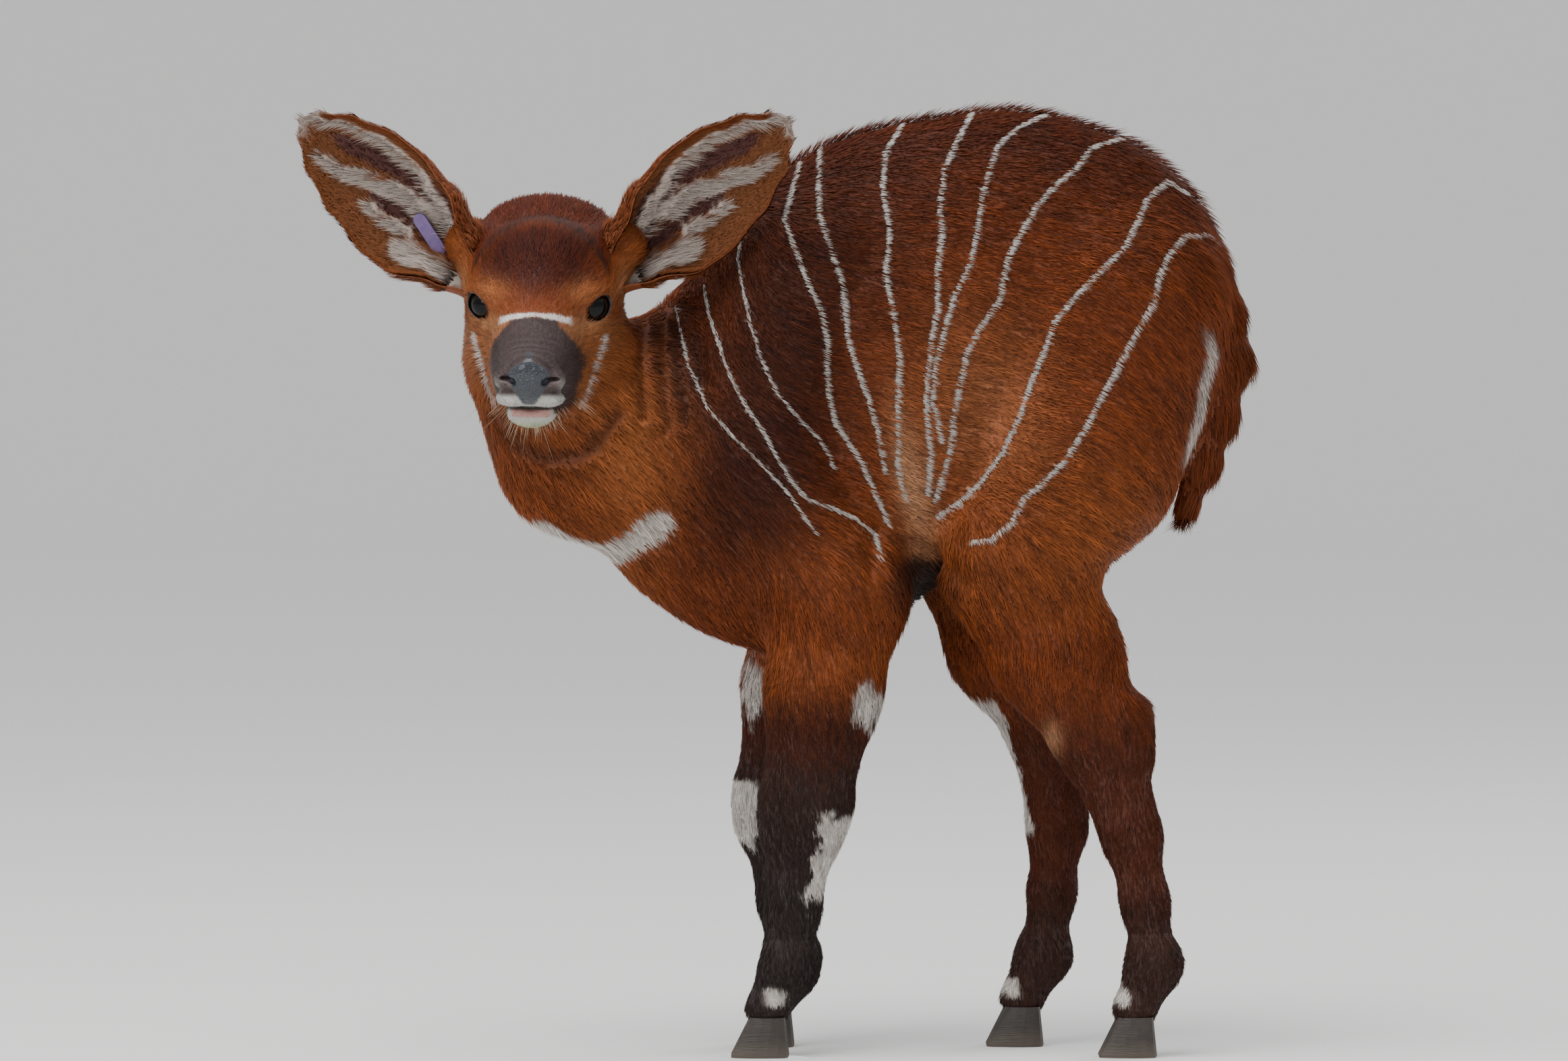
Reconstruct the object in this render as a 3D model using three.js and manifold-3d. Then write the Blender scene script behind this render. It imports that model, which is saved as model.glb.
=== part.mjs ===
// A standing calf of a striped forest antelope, life size, as one still model.
// Lengths are in millimetres. The body faces -X and the head is turned to -Y, the
// animal's own left. +Z is up and the four feet stand on Z = 0.
import * as THREE from "three";
import { mergeVertices } from "three/addons/utils/BufferGeometryUtils.js";
import Module from "manifold-3d";

const wasm = await Module();
wasm.setup();

// Driving sizes
const GAP = 0.3;
const FORELEG_CUT = 285;
const HINDLEG_CUT = 335;
const LEG_ROOM = 93;
const NECK_CUT = { at: [-62, 0, 400], normal: [-0.975, -0.05, -0.22] };
const CORONET_HEIGHT = 30;
const EYE_RADIUS = 15;
const EYE_AT = { forward: 1, aside: 36, up: 3.5 };
const EYE_TURN = THREE.MathUtils.degToRad(33);
const LID_OPENING = [9, 13, 9];
const EAR_LENGTH = 158;
const EAR_THICKNESS = 4;
const LEFT = -1;
const RIGHT = 1;
const FAR = 60;
const WELD = 0.02;

// Coat, skin and horn colours of the solids
const CHESTNUT = 0x8a4a22;
const DARK_CHESTNUT = 0x5f3220;
const LEG_BROWN = 0x43302a;
const EAR_BUFF = 0xa9805c;
const EYE_BLACK = 0x14110f;
const HOOF_BLACK = 0x2b2724;
const TAG_PURPLE = 0x6c4a8c;

// Short vector arithmetic on arrays of three numbers
const plus = (a, b) => [a[0] + b[0], a[1] + b[1], a[2] + b[2]];
const minus = (a, b) => [a[0] - b[0], a[1] - b[1], a[2] - b[2]];
const times = (a, s) => [a[0] * s, a[1] * s, a[2] * s];
const dot = (a, b) => a[0] * b[0] + a[1] * b[1] + a[2] * b[2];
const cross = (a, b) => [
  a[1] * b[2] - a[2] * b[1],
  a[2] * b[0] - a[0] * b[2],
  a[0] * b[1] - a[1] * b[0],
];
const unit = (a) => times(a, 1 / Math.hypot(...a));
const mix = (a, b, t) => a + (b - a) * t;

// A smooth curve through a few hand-chosen places, each [where, value]
function curveThrough(places) {
  return (x) => {
    const first = places[0];
    const last = places[places.length - 1];
    if (x <= first[0]) return first[1];
    if (x >= last[0]) return last[1];
    const i = places.findIndex((place) => place[0] > x) - 1;
    const [x0, y0] = places[i];
    const [x1, y1] = places[i + 1];
    const t = (x - x0) / (x1 - x0);
    return mix(y0, y1, t * t * (3 - 2 * t));
  };
}

// Frames: the world, and the head with its nose tipped down and turned aside
const WORLD = { nose: [1, 0, 0], left: [0, 1, 0], up: [0, 0, 1], at: [0, 0, 0] };

function headFrame() {
  const nodDown = THREE.MathUtils.degToRad(16);
  const turn = THREE.MathUtils.degToRad(3);
  const lean = THREE.MathUtils.degToRad(-1);
  const forward = [-Math.sin(turn), -Math.cos(turn), 0];
  const nose = plus(times(forward, Math.cos(nodDown)), [0, 0, -Math.sin(nodDown)]);
  const level = unit(cross([0, 0, 1], forward));
  const above = cross(nose, level);
  const left = plus(times(level, Math.cos(lean)), times(above, Math.sin(lean)));
  const up = plus(times(above, Math.cos(lean)), times(level, -Math.sin(lean)));
  return { nose, left, up, at: [-178, -112, 553] };
}
const HEAD = headFrame();

function toWorld(p, frame) {
  const turned = plus(plus(times(frame.nose, p[0]), times(frame.left, p[1])), times(frame.up, p[2]));
  return plus(turned, frame.at);
}

function toFrame(p, frame) {
  const offset = minus(p, frame.at);
  return [dot(offset, frame.nose), dot(offset, frame.left), dot(offset, frame.up)];
}

// Masses of flesh. Each is a rounded cone between two points, stretched along the axes
// of its frame. It melts into the masses before it over the width of its blend, or is
// hollowed out of them when carve is true.
function cone(from, to, fromRadius, toRadius, options = {}) {
  const { stretch = [1, 1, 1], blend = 20, frame = WORLD, carve = false } = options;
  const reach = Math.max(fromRadius, toRadius) * Math.max(...stretch) + blend + 25;
  const a = from.map((v, i) => v / stretch[i]);
  const b = to.map((v, i) => v / stretch[i]);
  const along = minus(b, a);
  const middle = toWorld(times(plus(from, to), 0.5), frame);
  const half = Math.hypot(...minus(to, from)) / 2;
  const distance = (p) => {
    const local = toFrame(p, frame).map((v, i) => v / stretch[i]);
    const square = dot(along, along);
    const t = square > 1e-9 ? THREE.MathUtils.clamp(dot(minus(local, a), along) / square, 0, 1) : 0;
    const away = minus(local, plus(a, times(along, t)));
    const length = Math.hypot(...away) + 1e-6;
    const slope = Math.hypot(...away.map((v, i) => v / length / stretch[i])) + 1e-9;
    return (length - mix(fromRadius, toRadius, t)) / slope;
  };
  return { distance, blend, carve, middle, reach: half + reach };
}

function ball(at, radii, options = {}) {
  return cone(at, at, 1, 1, { ...options, stretch: radii });
}

function melt(a, b, blend) {
  const h = Math.max(blend - Math.abs(a - b), 0) / blend;
  return Math.min(a, b) - (h * h * blend) / 4;
}

// Distance to the surface of all the masses together, negative inside
function flesh(p, masses) {
  let d = FAR;
  for (const m of masses) {
    if (Math.hypot(...minus(p, m.middle)) > m.reach) continue;
    const own = m.distance(p);
    d = m.carve ? -melt(-d, own, m.blend) : melt(d, own, m.blend);
  }
  return d;
}

// The barrel, breast, shoulders and haunches
function trunkMasses() {
  const masses = [
    ball([78, 0, 512], [135, 84, 173], { blend: 30 }),
    ball([165, 0, 548], [130, 86, 152], { blend: 40 }),
    ball([236, 0, 540], [98, 78, 132], { blend: 40 }),
    ball([10, 0, 520], [80, 62, 115], { blend: 40 }),
    ball([-55, 0, 425], [88, 64, 105], { blend: 40 }),
    ball([10, 0, 345], [84, 52, 52], { blend: 30 }),
  ];
  for (const side of [LEFT, RIGHT]) {
    const shoulder = { stretch: [1, 0.8, 1], blend: 30 };
    const thigh = { stretch: [1, 0.75, 1], blend: 30 };
    masses.push(cone([25, side * 48, 590], [-25, side * 56, 445], 38, 48, shoulder));
    masses.push(cone([-25, side * 56, 440], [42, side * 52, 345], 46, 44, shoulder));
    masses.push(cone([258, side * 42, 555], [222, side * 50, 440], 60, 66, thigh));
    masses.push(cone([222, side * 50, 440], [172, side * 54, 365], 62, 50, thigh));
  }
  return masses;
}

// The neck leaves the shoulders forward and low, then bends up and aside to the head
function neckMasses() {
  return [
    cone([-35, 5, 492], [-105, -8, 464], 78, 66, { stretch: [1, 0.9, 1.05], blend: 40 }),
    cone([-105, -8, 464], [-165, -52, 500], 66, 56, { blend: 30 }),
    cone([-62, 0, 437], [-148, -30, 448], 80, 61, { stretch: [1, 0.85, 1], blend: 30 }),
    cone([-148, -30, 448], [-172, -62, 505], 60, 55, { blend: 30 }),
  ];
}

// Each leg is a chain of places down the limb, with its radius there
const FORELEGS = {
  [LEFT]: {
    elbow: [38, -50, 330], forearm: [29, -50, 270], knee: [15, -48, 182],
    shin: [7, -48, 110], fetlock: [4, -48, 66], pastern: [-12, -48, 36],
  },
  [RIGHT]: {
    elbow: [30, 50, 330], forearm: [12, 46, 270], knee: [-5, 42, 182],
    shin: [0, 42, 110], fetlock: [6, 42, 66], pastern: [-8, 42, 36],
  },
};
const HINDLEGS = {
  [LEFT]: {
    stifle: [168, -54, 365], gaskin: [200, -50, 300], hock: [232, -46, 240],
    shank: [256, -46, 165], cannon: [266, -46, 115], fetlock: [273, -46, 68], pastern: [259, -46, 36],
  },
  [RIGHT]: {
    stifle: [150, 55, 365], gaskin: [170, 50, 300], hock: [200, 46, 242],
    shank: [204, 46, 165], cannon: [200, 46, 115], fetlock: [194, 46, 68], pastern: [178, 46, 36],
  },
};

function forelegMasses(side) {
  const at = FORELEGS[side];
  const bend = plus(at.knee, [2, 0, 6]);
  const bendEnd = plus(at.knee, [-2, 0, -12]);
  const upper = { stretch: [1, 0.78, 1] };
  return [
    cone(at.elbow, at.forearm, 50, 42, { ...upper, blend: 25 }),
    cone(at.forearm, at.knee, 42, 32, { ...upper, blend: 18 }),
    cone(bend, bendEnd, 33, 29, { ...upper, blend: 14 }),
    cone(at.knee, at.shin, 29, 20, { stretch: [1, 0.85, 1], blend: 14 }),
    cone(at.shin, at.fetlock, 18.5, 19, { stretch: [1, 0.9, 1], blend: 12 }),
    cone(at.fetlock, at.fetlock, 21, 21, { blend: 12 }),
    cone(at.fetlock, at.pastern, 18, 18, { stretch: [1, 1.05, 1], blend: 12 }),
  ];
}

function hindlegMasses(side) {
  const at = HINDLEGS[side];
  const hockPoint = plus(at.hock, [30, 0, 16]);
  const hockBack = plus(at.hock, [28, 0, -16]);
  const upper = { stretch: [1, 0.72, 1] };
  return [
    cone(at.stifle, at.gaskin, 54, 48, { ...upper, blend: 25 }),
    cone(at.gaskin, at.hock, 47, 36, { ...upper, blend: 18 }),
    cone(hockPoint, hockBack, 10, 13, { blend: 16 }),
    cone(at.hock, at.shank, 35, 22, { stretch: [1, 0.75, 1], blend: 14 }),
    cone(at.shank, at.cannon, 21, 17.5, { stretch: [1, 0.9, 1], blend: 12 }),
    cone(at.cannon, at.fetlock, 17, 17, { blend: 12 }),
    cone(at.fetlock, at.fetlock, 20.5, 20.5, { blend: 12 }),
    cone(at.fetlock, at.pastern, 17.5, 18, { stretch: [1, 1.05, 1], blend: 12 }),
  ];
}

// The skull, muzzle and jaw, in the head's frame: nose, left, up
function headMasses() {
  const part = (blend) => ({ frame: HEAD, blend });
  const masses = [
    ball([-36, 0, 6], [62, 56, 50], part(20)),
    ball([-16, 0, 12], [44, 50, 44], part(16)),
    ball([-82, 0, 30], [30, 46, 30], part(16)),
    cone([5, 0, -6], [84, 0, -24], 38, 22, part(16)),
    ball([92, 0, -27], [18, 23, 19], part(10)),
    cone([-45, 0, -62], [70, 0, -54], 22, 12, { ...part(16), stretch: [1, 1.25, 1] }),
    ball([82, 0, -54], [15, 19, 12], part(8)),
  ];
  for (const side of [-1, 1]) {
    masses.push(ball([-36, side * 32, -30], [46, 26, 44], part(18)));
    masses.push(ball([12, side * 20, -40], [46, 15, 24], part(18)));
    masses.push(cone([-50, side * 36, 18], [-60, side * 56, 30], 30, 24, part(14)));
    masses.push(ball([0, side * 36, 14], [22, 15, 14], part(12)));
  }
  return masses.concat(eyelidMasses(), mouthMasses());
}

// Places on the head
const eyeAt = (side) => [EYE_AT.forward, side * EYE_AT.aside, EYE_AT.up];
const eyeFacing = (side) => [Math.cos(EYE_TURN), side * Math.sin(EYE_TURN), 0.06];

// A frame in an eye: out of the head, along the lids with the inner corner lower, and up
function eyeFrame(side) {
  const cant = THREE.MathUtils.degToRad(12) * side;
  const out = unit(eyeFacing(side));
  const level = unit(cross([0, 0, 1], out));
  const above = cross(out, level);
  const along = plus(times(level, Math.cos(cant)), times(above, Math.sin(cant)));
  const rise = minus(times(above, Math.cos(cant)), times(level, Math.sin(cant)));
  const turn = (v) => minus(toWorld(v, HEAD), HEAD.at);
  return { nose: turn(out), left: turn(along), up: turn(rise), at: toWorld(eyeAt(side), HEAD) };
}

// The lids wrap each eyeball
function eyelidMasses() {
  const lid = EYE_RADIUS + 2.6;
  return [-1, 1].map((side) => ball([0, 0, 0], [lid, lid, lid], { frame: eyeFrame(side), blend: 7 }));
}

// Nose pad, lip lobes and lower lip
function mouthMasses() {
  const part = (blend) => ({ frame: HEAD, blend });
  return [
    ball([103, 0, -18], [9, 16, 14], part(5)),
    ...[-1, 1].map((side) => ball([94, side * 13, -37], [13, 13, 8.5], part(5))),
    ball([91, 0, -50], [9, 17, 6], part(4)),
  ];
}

// The tail hangs against the buttocks, each place with the radius of its haired core
const TAIL = [
  [[306, 0, 586], 20],
  [[327, 0, 545], 21],
  [[330, -3, 502], 21],
  [[322, -5, 455], 19],
  [[307, -6, 415], 12],
  [[297, -6, 390], 5],
];

function tailMasses() {
  return TAIL.slice(1).map(([at, radius], i) => {
    const [before, beforeRadius] = TAIL[i];
    return cone(before, at, beforeRadius, radius, { stretch: [1, 0.8, 1], blend: 14 });
  });
}

// Meshing: one vertex in each cell of a box grid that the surface crosses, drawn on to
// the surface, and one square of skin across each grid edge that it crosses
function steps(...stops) {
  const places = [stops[0]];
  for (let i = 1; i < stops.length; i += 2) {
    const [step, end] = [stops[i], stops[i + 1]];
    const start = places[places.length - 1];
    const count = Math.max(1, Math.round((end - start) / step));
    for (let n = 1; n <= count; n++) places.push(mix(start, end, n / count));
  }
  return places;
}

function skinMesh(masses, grid, { frame = WORLD, swell = 0 } = {}) {
  const [nx, ny, nz] = grid.map((axis) => axis.length);
  const at = (i, j, k) => (i * ny + j) * nz + k;
  const values = new Float64Array(nx * ny * nz);
  const measure = (p) => flesh(toWorld(p, frame), masses) - swell;
  for (let i = 0; i < nx; i++) {
    for (let j = 0; j < ny; j++) {
      for (let k = 0; k < nz; k++) {
        const edge = i === 0 || j === 0 || k === 0 || i === nx - 1 || j === ny - 1 || k === nz - 1;
        const d = measure([grid[0][i], grid[1][j], grid[2][k]]);
        values[at(i, j, k)] = edge ? Math.max(d, 1) : d;
      }
    }
  }
  joinDiagonals(values, at, [nx, ny, nz]);
  const cellVertex = new Int32Array(nx * ny * nz).fill(-1);
  const vertices = [];
  for (let i = 0; i < nx - 1; i++) {
    for (let j = 0; j < ny - 1; j++) {
      for (let k = 0; k < nz - 1; k++) {
        const place = cellCrossing(values, at, grid, [i, j, k]);
        if (!place) continue;
        cellVertex[at(i, j, k)] = vertices.length;
        vertices.push(drawOn(place, measure, grid, [i, j, k]));
      }
    }
  }
  const triangles = skinTriangles(values, at, [nx, ny, nz], cellVertex);
  return solidFrom(vertices.map((p) => toWorld(p, frame)), triangles);
}

// Where the flesh touches only corner to corner across a face of the grid, the nearer
// empty corner is filled, so that no two sheets of skin share an edge
function joinDiagonals(values, at, counts) {
  const barelyInside = -0.01;
  let changed = true;
  while (changed) {
    changed = false;
    for (let i = 0; i < counts[0] - 1; i++) {
      for (let j = 0; j < counts[1] - 1; j++) {
        for (let k = 0; k < counts[2] - 1; k++) {
          const faces = [
            [at(i, j, k), at(i, j + 1, k), at(i, j + 1, k + 1), at(i, j, k + 1)],
            [at(i, j, k), at(i + 1, j, k), at(i + 1, j, k + 1), at(i, j, k + 1)],
            [at(i, j, k), at(i + 1, j, k), at(i + 1, j + 1, k), at(i, j + 1, k)],
          ];
          for (const face of faces) {
            const inside = face.map((corner) => values[corner] < 0);
            const diagonal = inside[0] === inside[2] && inside[1] === inside[3] && inside[0] !== inside[1];
            if (!diagonal) continue;
            const empty = face.filter((corner) => values[corner] >= 0);
            const nearer = values[empty[0]] < values[empty[1]] ? empty[0] : empty[1];
            values[nearer] = barelyInside;
            changed = true;
          }
        }
      }
    }
  }
}

const CELL_CORNERS = [0, 1, 2, 3, 4, 5, 6, 7].map((n) => [n >> 2, (n >> 1) & 1, n & 1]);
const CELL_EDGES = CELL_CORNERS.flatMap((a) =>
  CELL_CORNERS.filter((b) => b[0] + b[1] + b[2] === a[0] + a[1] + a[2] + 1)
    .filter((b) => b.every((v, i) => v >= a[i]))
    .map((b) => [a, b]));

function cellCrossing(values, at, grid, cell) {
  const value = (c) => values[at(cell[0] + c[0], cell[1] + c[1], cell[2] + c[2])];
  let sum = [0, 0, 0];
  let count = 0;
  for (const [a, b] of CELL_EDGES) {
    const [va, vb] = [value(a), value(b)];
    if (va < 0 === vb < 0) continue;
    const t = va / (va - vb);
    const point = [0, 1, 2].map((n) => mix(grid[n][cell[n] + a[n]], grid[n][cell[n] + b[n]], t));
    sum = plus(sum, point);
    count += 1;
  }
  return count ? times(sum, 1 / count) : null;
}

// Newton steps to the surface that stay inside the vertex's own cell
function drawOn(start, measure, grid, cell) {
  const inner = cell.every((n, axis) => n > 0 && n < grid[axis].length - 2);
  if (!inner) return start;
  const reach = 0.5;
  let p = start;
  for (let round = 0; round < 3; round++) {
    const d = measure(p);
    const slope = [0, 1, 2].map((n) => {
      const ahead = [...p];
      ahead[n] += reach;
      return (measure(ahead) - d) / reach;
    });
    const square = dot(slope, slope);
    if (square < 0.05) return p;
    p = minus(p, times(slope, d / square));
    p = p.map((v, n) => {
      const margin = (grid[n][cell[n] + 1] - grid[n][cell[n]]) * 0.04;
      return THREE.MathUtils.clamp(v, grid[n][cell[n]] + margin, grid[n][cell[n] + 1] - margin);
    });
  }
  return p;
}

function skinTriangles(values, at, [nx, ny, nz], cellVertex) {
  const triangles = [];
  const square = (a, b, c, d, flip) => {
    const [q, r, s, t] = [a, b, c, d].map((corner) => cellVertex[at(...corner)]);
    if (flip) triangles.push([q, s, r], [q, t, s]);
    else triangles.push([q, r, s], [q, s, t]);
  };
  for (let i = 0; i < nx - 1; i++) {
    for (let j = 0; j < ny - 1; j++) {
      for (let k = 0; k < nz - 1; k++) {
        const here = values[at(i, j, k)] < 0;
        if (j && k && here !== values[at(i + 1, j, k)] < 0) {
          square([i, j - 1, k - 1], [i, j, k - 1], [i, j, k], [i, j - 1, k], !here);
        }
        if (i && k && here !== values[at(i, j + 1, k)] < 0) {
          square([i - 1, j, k - 1], [i - 1, j, k], [i, j, k], [i, j, k - 1], !here);
        }
        if (i && j && here !== values[at(i, j, k + 1)] < 0) {
          square([i - 1, j - 1, k], [i, j - 1, k], [i, j, k], [i - 1, j, k], !here);
        }
      }
    }
  }
  return triangles;
}

// Solids for joining and cutting
function solidFrom(vertices, triangles) {
  const mesh = new wasm.Mesh({
    numProp: 3,
    vertProperties: new Float32Array(vertices.flat()),
    triVerts: new Uint32Array(triangles.flat()),
  });
  return new wasm.Manifold(mesh);
}

function solidFromGeometry(geometry, matrix = new THREE.Matrix4()) {
  const bare = geometry.clone();
  bare.deleteAttribute("normal");
  bare.deleteAttribute("uv");
  const merged = mergeVertices(bare, 1e-4).applyMatrix4(matrix);
  const place = merged.getAttribute("position");
  const vertices = Array.from({ length: place.count }, (_, i) => [place.getX(i), place.getY(i), place.getZ(i)]);
  return solidFrom(vertices, realTriangles(merged));
}

// The triangles of a geometry, without those that welding has closed up
function realTriangles(geometry) {
  const corners = geometry.getIndex().array;
  const triangles = [];
  for (let i = 0; i < corners.length; i += 3) {
    triangles.push([corners[i], corners[i + 1], corners[i + 2]]);
  }
  return triangles.filter(([a, b, c]) => a !== b && b !== c && a !== c);
}

// A large block that fills the side of a plane that its normal points to
const BLOCK = 2000;
function blockBeyond(point, normal, shift = 0) {
  const along = new THREE.Vector3(...normal).normalize();
  const turn = new THREE.Quaternion().setFromUnitVectors(new THREE.Vector3(0, 0, 1), along);
  const centre = new THREE.Vector3(...point).addScaledVector(along, shift + BLOCK / 2);
  const matrix = new THREE.Matrix4().compose(centre, turn, new THREE.Vector3(1, 1, 1));
  return solidFromGeometry(new THREE.BoxGeometry(BLOCK, BLOCK, BLOCK), matrix);
}

const trimmed = (solid, point, normal) => solid.subtract(blockBeyond(point, normal, -GAP / 2));

function boxSolid(from, to) {
  const size = minus(to, from);
  const centre = times(plus(from, to), 0.5);
  const matrix = new THREE.Matrix4().makeTranslation(...centre);
  return solidFromGeometry(new THREE.BoxGeometry(...size), matrix);
}

function largestPiece(solid) {
  const pieces = solid.decompose();
  return pieces.reduce((best, piece) => (piece.volume() > best.volume() ? piece : best));
}

const group = new THREE.Group();

function addNode(name, solid, color, roughness = 0.85) {
  const { vertProperties, triVerts } = largestPiece(solid).getMesh();
  const cut = new THREE.BufferGeometry();
  cut.setAttribute("position", new THREE.BufferAttribute(vertProperties, 3));
  cut.setIndex(Array.from(triVerts));
  const geometry = mergeVertices(cut, WELD);
  geometry.setIndex(realTriangles(geometry).flat());
  geometry.computeVertexNormals();
  const material = new THREE.MeshStandardMaterial({ color, roughness, metalness: 0 });
  const mesh = new THREE.Mesh(geometry, material);
  mesh.name = name;
  group.add(mesh);
}

// The plane behind the skull and jaw where the head meets the neck
const HEAD_CUT = {
  at: toWorld([-98, 0, 25], HEAD),
  normal: minus(toWorld([-0.8, 0.2, -0.56], HEAD), HEAD.at),
};
const opposite = (normal) => times(normal, -1);

const TRUNK = trunkMasses();
const NECK = neckMasses();
const BODY = [...TRUNK, ...NECK, ...headMasses()];

// Torso: from the base of the neck to the rump, with stubs where the legs go on
const TORSO_GRID = [steps(-150, 22, 350), steps(-117, 20, 117), steps(262, 20, 722)];
const LEG_TOPS = [LEFT, RIGHT].flatMap((side) => [...forelegMasses(side), ...hindlegMasses(side)]);

function torsoSolid(swell = 0) {
  const whole = skinMesh([...TRUNK, ...NECK, ...LEG_TOPS], TORSO_GRID, { swell });
  const low = -100;
  const forelegs = boxSolid([-400, -300, low], [LEG_ROOM, 300, FORELEG_CUT + GAP / 2]);
  const hindlegs = boxSolid([LEG_ROOM, -300, low], [500, 300, HINDLEG_CUT + GAP / 2]);
  return trimmed(whole.subtract(forelegs).subtract(hindlegs), NECK_CUT.at, NECK_CUT.normal);
}

// Neck: between the torso's cut and the head's cut
function neckSolid() {
  const grid = [steps(-255, 14.5, -20), steps(-150, 14.5, 100), steps(300, 15.5, 640)];
  const whole = skinMesh(BODY, grid);
  const clearOfTorso = trimmed(whole, NECK_CUT.at, opposite(NECK_CUT.normal));
  return trimmed(clearOfTorso, HEAD_CUT.at, opposite(HEAD_CUT.normal));
}

// Head: the skull with its cheeks, lids, nostrils and lips, open for the eyes
function headSolid() {
  const forward = steps(-135, 15, -30, 10, 60, 6.5, 120);
  const aside = steps(-95, 15, -65, 9, -29, 7, 29, 9, 65, 15, 115);
  const up = steps(-130, 15, -75, 8, 20, 14, 75);
  let solid = skinMesh(BODY, [forward, aside, up], { frame: HEAD });
  solid = trimmed(solid, HEAD_CUT.at, HEAD_CUT.normal).subtract(mouthLine());
  for (const side of [-1, 1]) {
    solid = solid.subtract(eyeSolid(side, EYE_RADIUS + GAP));
    solid = solid.subtract(roundSolid([EYE_RADIUS + 1, 0, 0], LID_OPENING, eyeFrame(side), 18));
    for (const { at, size } of NOSTRIL) {
      const place = [at[0], side * at[1], at[2]];
      solid = solid.subtract(roundSolid(place, size, HEAD, 10));
    }
    solid = trimmed(solid, earPlace(side).root, earPlace(side).along);
  }
  return solid;
}

// Each nostril is a comma: a round hole with a slit that runs back and out from it
const NOSTRIL = [
  { at: [108, 11.5, -21], size: [8, 4.2, 4.6] },
  { at: [104, 17, -18.5], size: [8, 5.5, 2.6] },
];

// The parted lips: a thin lens with its middle filled by the jaws
function mouthLine() {
  const slit = roundSolid([80, 0, -45.5], [34, 34, 1.6], HEAD, 28);
  const jaws = roundSolid([62, 0, -45.5], [36, 17, 12], HEAD, 20);
  return slit.subtract(jaws);
}

function roundSolid(at, radii, frame, segments) {
  const basis = new THREE.Matrix4().makeBasis(
    new THREE.Vector3(...frame.nose),
    new THREE.Vector3(...frame.left),
    new THREE.Vector3(...frame.up),
  );
  basis.setPosition(...toWorld(at, frame));
  const ellipsoid = new THREE.SphereGeometry(1, segments, Math.ceil(segments / 2));
  ellipsoid.rotateX(Math.PI / 2);
  ellipsoid.scale(...radii);
  return solidFromGeometry(ellipsoid, basis);
}

function eyeSolid(side, radius = EYE_RADIUS) {
  const matrix = new THREE.Matrix4().makeTranslation(...toWorld(eyeAt(side), HEAD));
  return solidFromGeometry(new THREE.IcosahedronGeometry(radius, 2), matrix);
}

// Ears: long rounded cups that open forward, folded to a tube at the root
const EAR_WIDTH = curveThrough([[-0.1, 20], [0.04, 28], [0.25, 41], [0.42, 44], [0.6, 42], [0.8, 32], [0.93, 18], [1, 3]]);
const EAR_FOLD = curveThrough([[-0.1, 150], [0.1, 125], [0.3, 100], [0.6, 78], [1, 60]]);
const EAR_CUP = curveThrough([[-0.1, 0.8], [0.1, 0.75], [0.5, 0.55], [1, 0.35]]);
const EAR_SHIFT = curveThrough([[0, -5], [0.25, -6], [0.6, -2], [0.8, 0], [1, 3]]);

function earPlace(side) {
  const lift = side > 0 ? 2 : -3;
  const root = [-58, side * 56, 28 + lift];
  const tip = [-72, side * 176, 122 + lift];
  const along = unit(minus(tip, root));
  const open = [1, side * 0.25, 0];
  const face = unit(minus(open, times(along, dot(open, along))));
  const over = times(cross(face, along), side);
  const turn = (v) => minus(toWorld(v, HEAD), HEAD.at);
  return { root: toWorld(root, HEAD), along: turn(along), face: turn(face), over: turn(over) };
}

// A place on the ear: t from root to tip, s from edge to edge, out of the middle of its skin
function earPoint(side, t, s, out) {
  const place = earPlace(side);
  const angle = THREE.MathUtils.degToRad(EAR_FOLD(t)) * s;
  const width = Math.max(EAR_WIDTH(t) + out, 0.3);
  const across = width * Math.sin(angle) + EAR_SHIFT(t);
  const deep = 12 - width * Math.cos(angle) * EAR_CUP(t);
  const spot = plus(place.root, times(place.along, t * EAR_LENGTH));
  return plus(plus(spot, times(place.over, across)), times(place.face, deep));
}

function earSolid(side, swell = 0) {
  const half = EAR_THICKNESS / 2 + swell;
  const rows = 15;
  const columns = 11;
  const vertices = [];
  for (const out of [half, -half]) {
    for (let row = 0; row < rows; row++) {
      const t = mix(-0.1, 1, row / (rows - 1));
      for (let column = 0; column < columns; column++) {
        vertices.push(earPoint(side, t, mix(-1, 1, column / (columns - 1)), out));
      }
    }
  }
  const back = (row, column) => row * columns + column;
  const front = (row, column) => rows * columns + back(row, column);
  const triangles = [];
  const patch = (a, b, c, d) => triangles.push([a, b, c], [a, c, d]);
  for (let row = 0; row < rows - 1; row++) {
    for (let column = 0; column < columns - 1; column++) {
      patch(back(row, column), back(row, column + 1), back(row + 1, column + 1), back(row + 1, column));
      patch(front(row, column), front(row + 1, column), front(row + 1, column + 1), front(row, column + 1));
    }
    const end = columns - 1;
    patch(back(row, 0), back(row + 1, 0), front(row + 1, 0), front(row, 0));
    patch(back(row, end), front(row, end), front(row + 1, end), back(row + 1, end));
  }
  for (let column = 0; column < columns - 1; column++) {
    const end = rows - 1;
    patch(back(0, column), front(0, column), front(0, column + 1), back(0, column + 1));
    patch(back(end, column), back(end, column + 1), front(end, column + 1), front(end, column));
  }
  const outward = side > 0 ? triangles : triangles.map(([a, b, c]) => [a, c, b]);
  const place = earPlace(side);
  return trimmed(solidFrom(vertices, outward), place.root, opposite(place.along));
}

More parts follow.
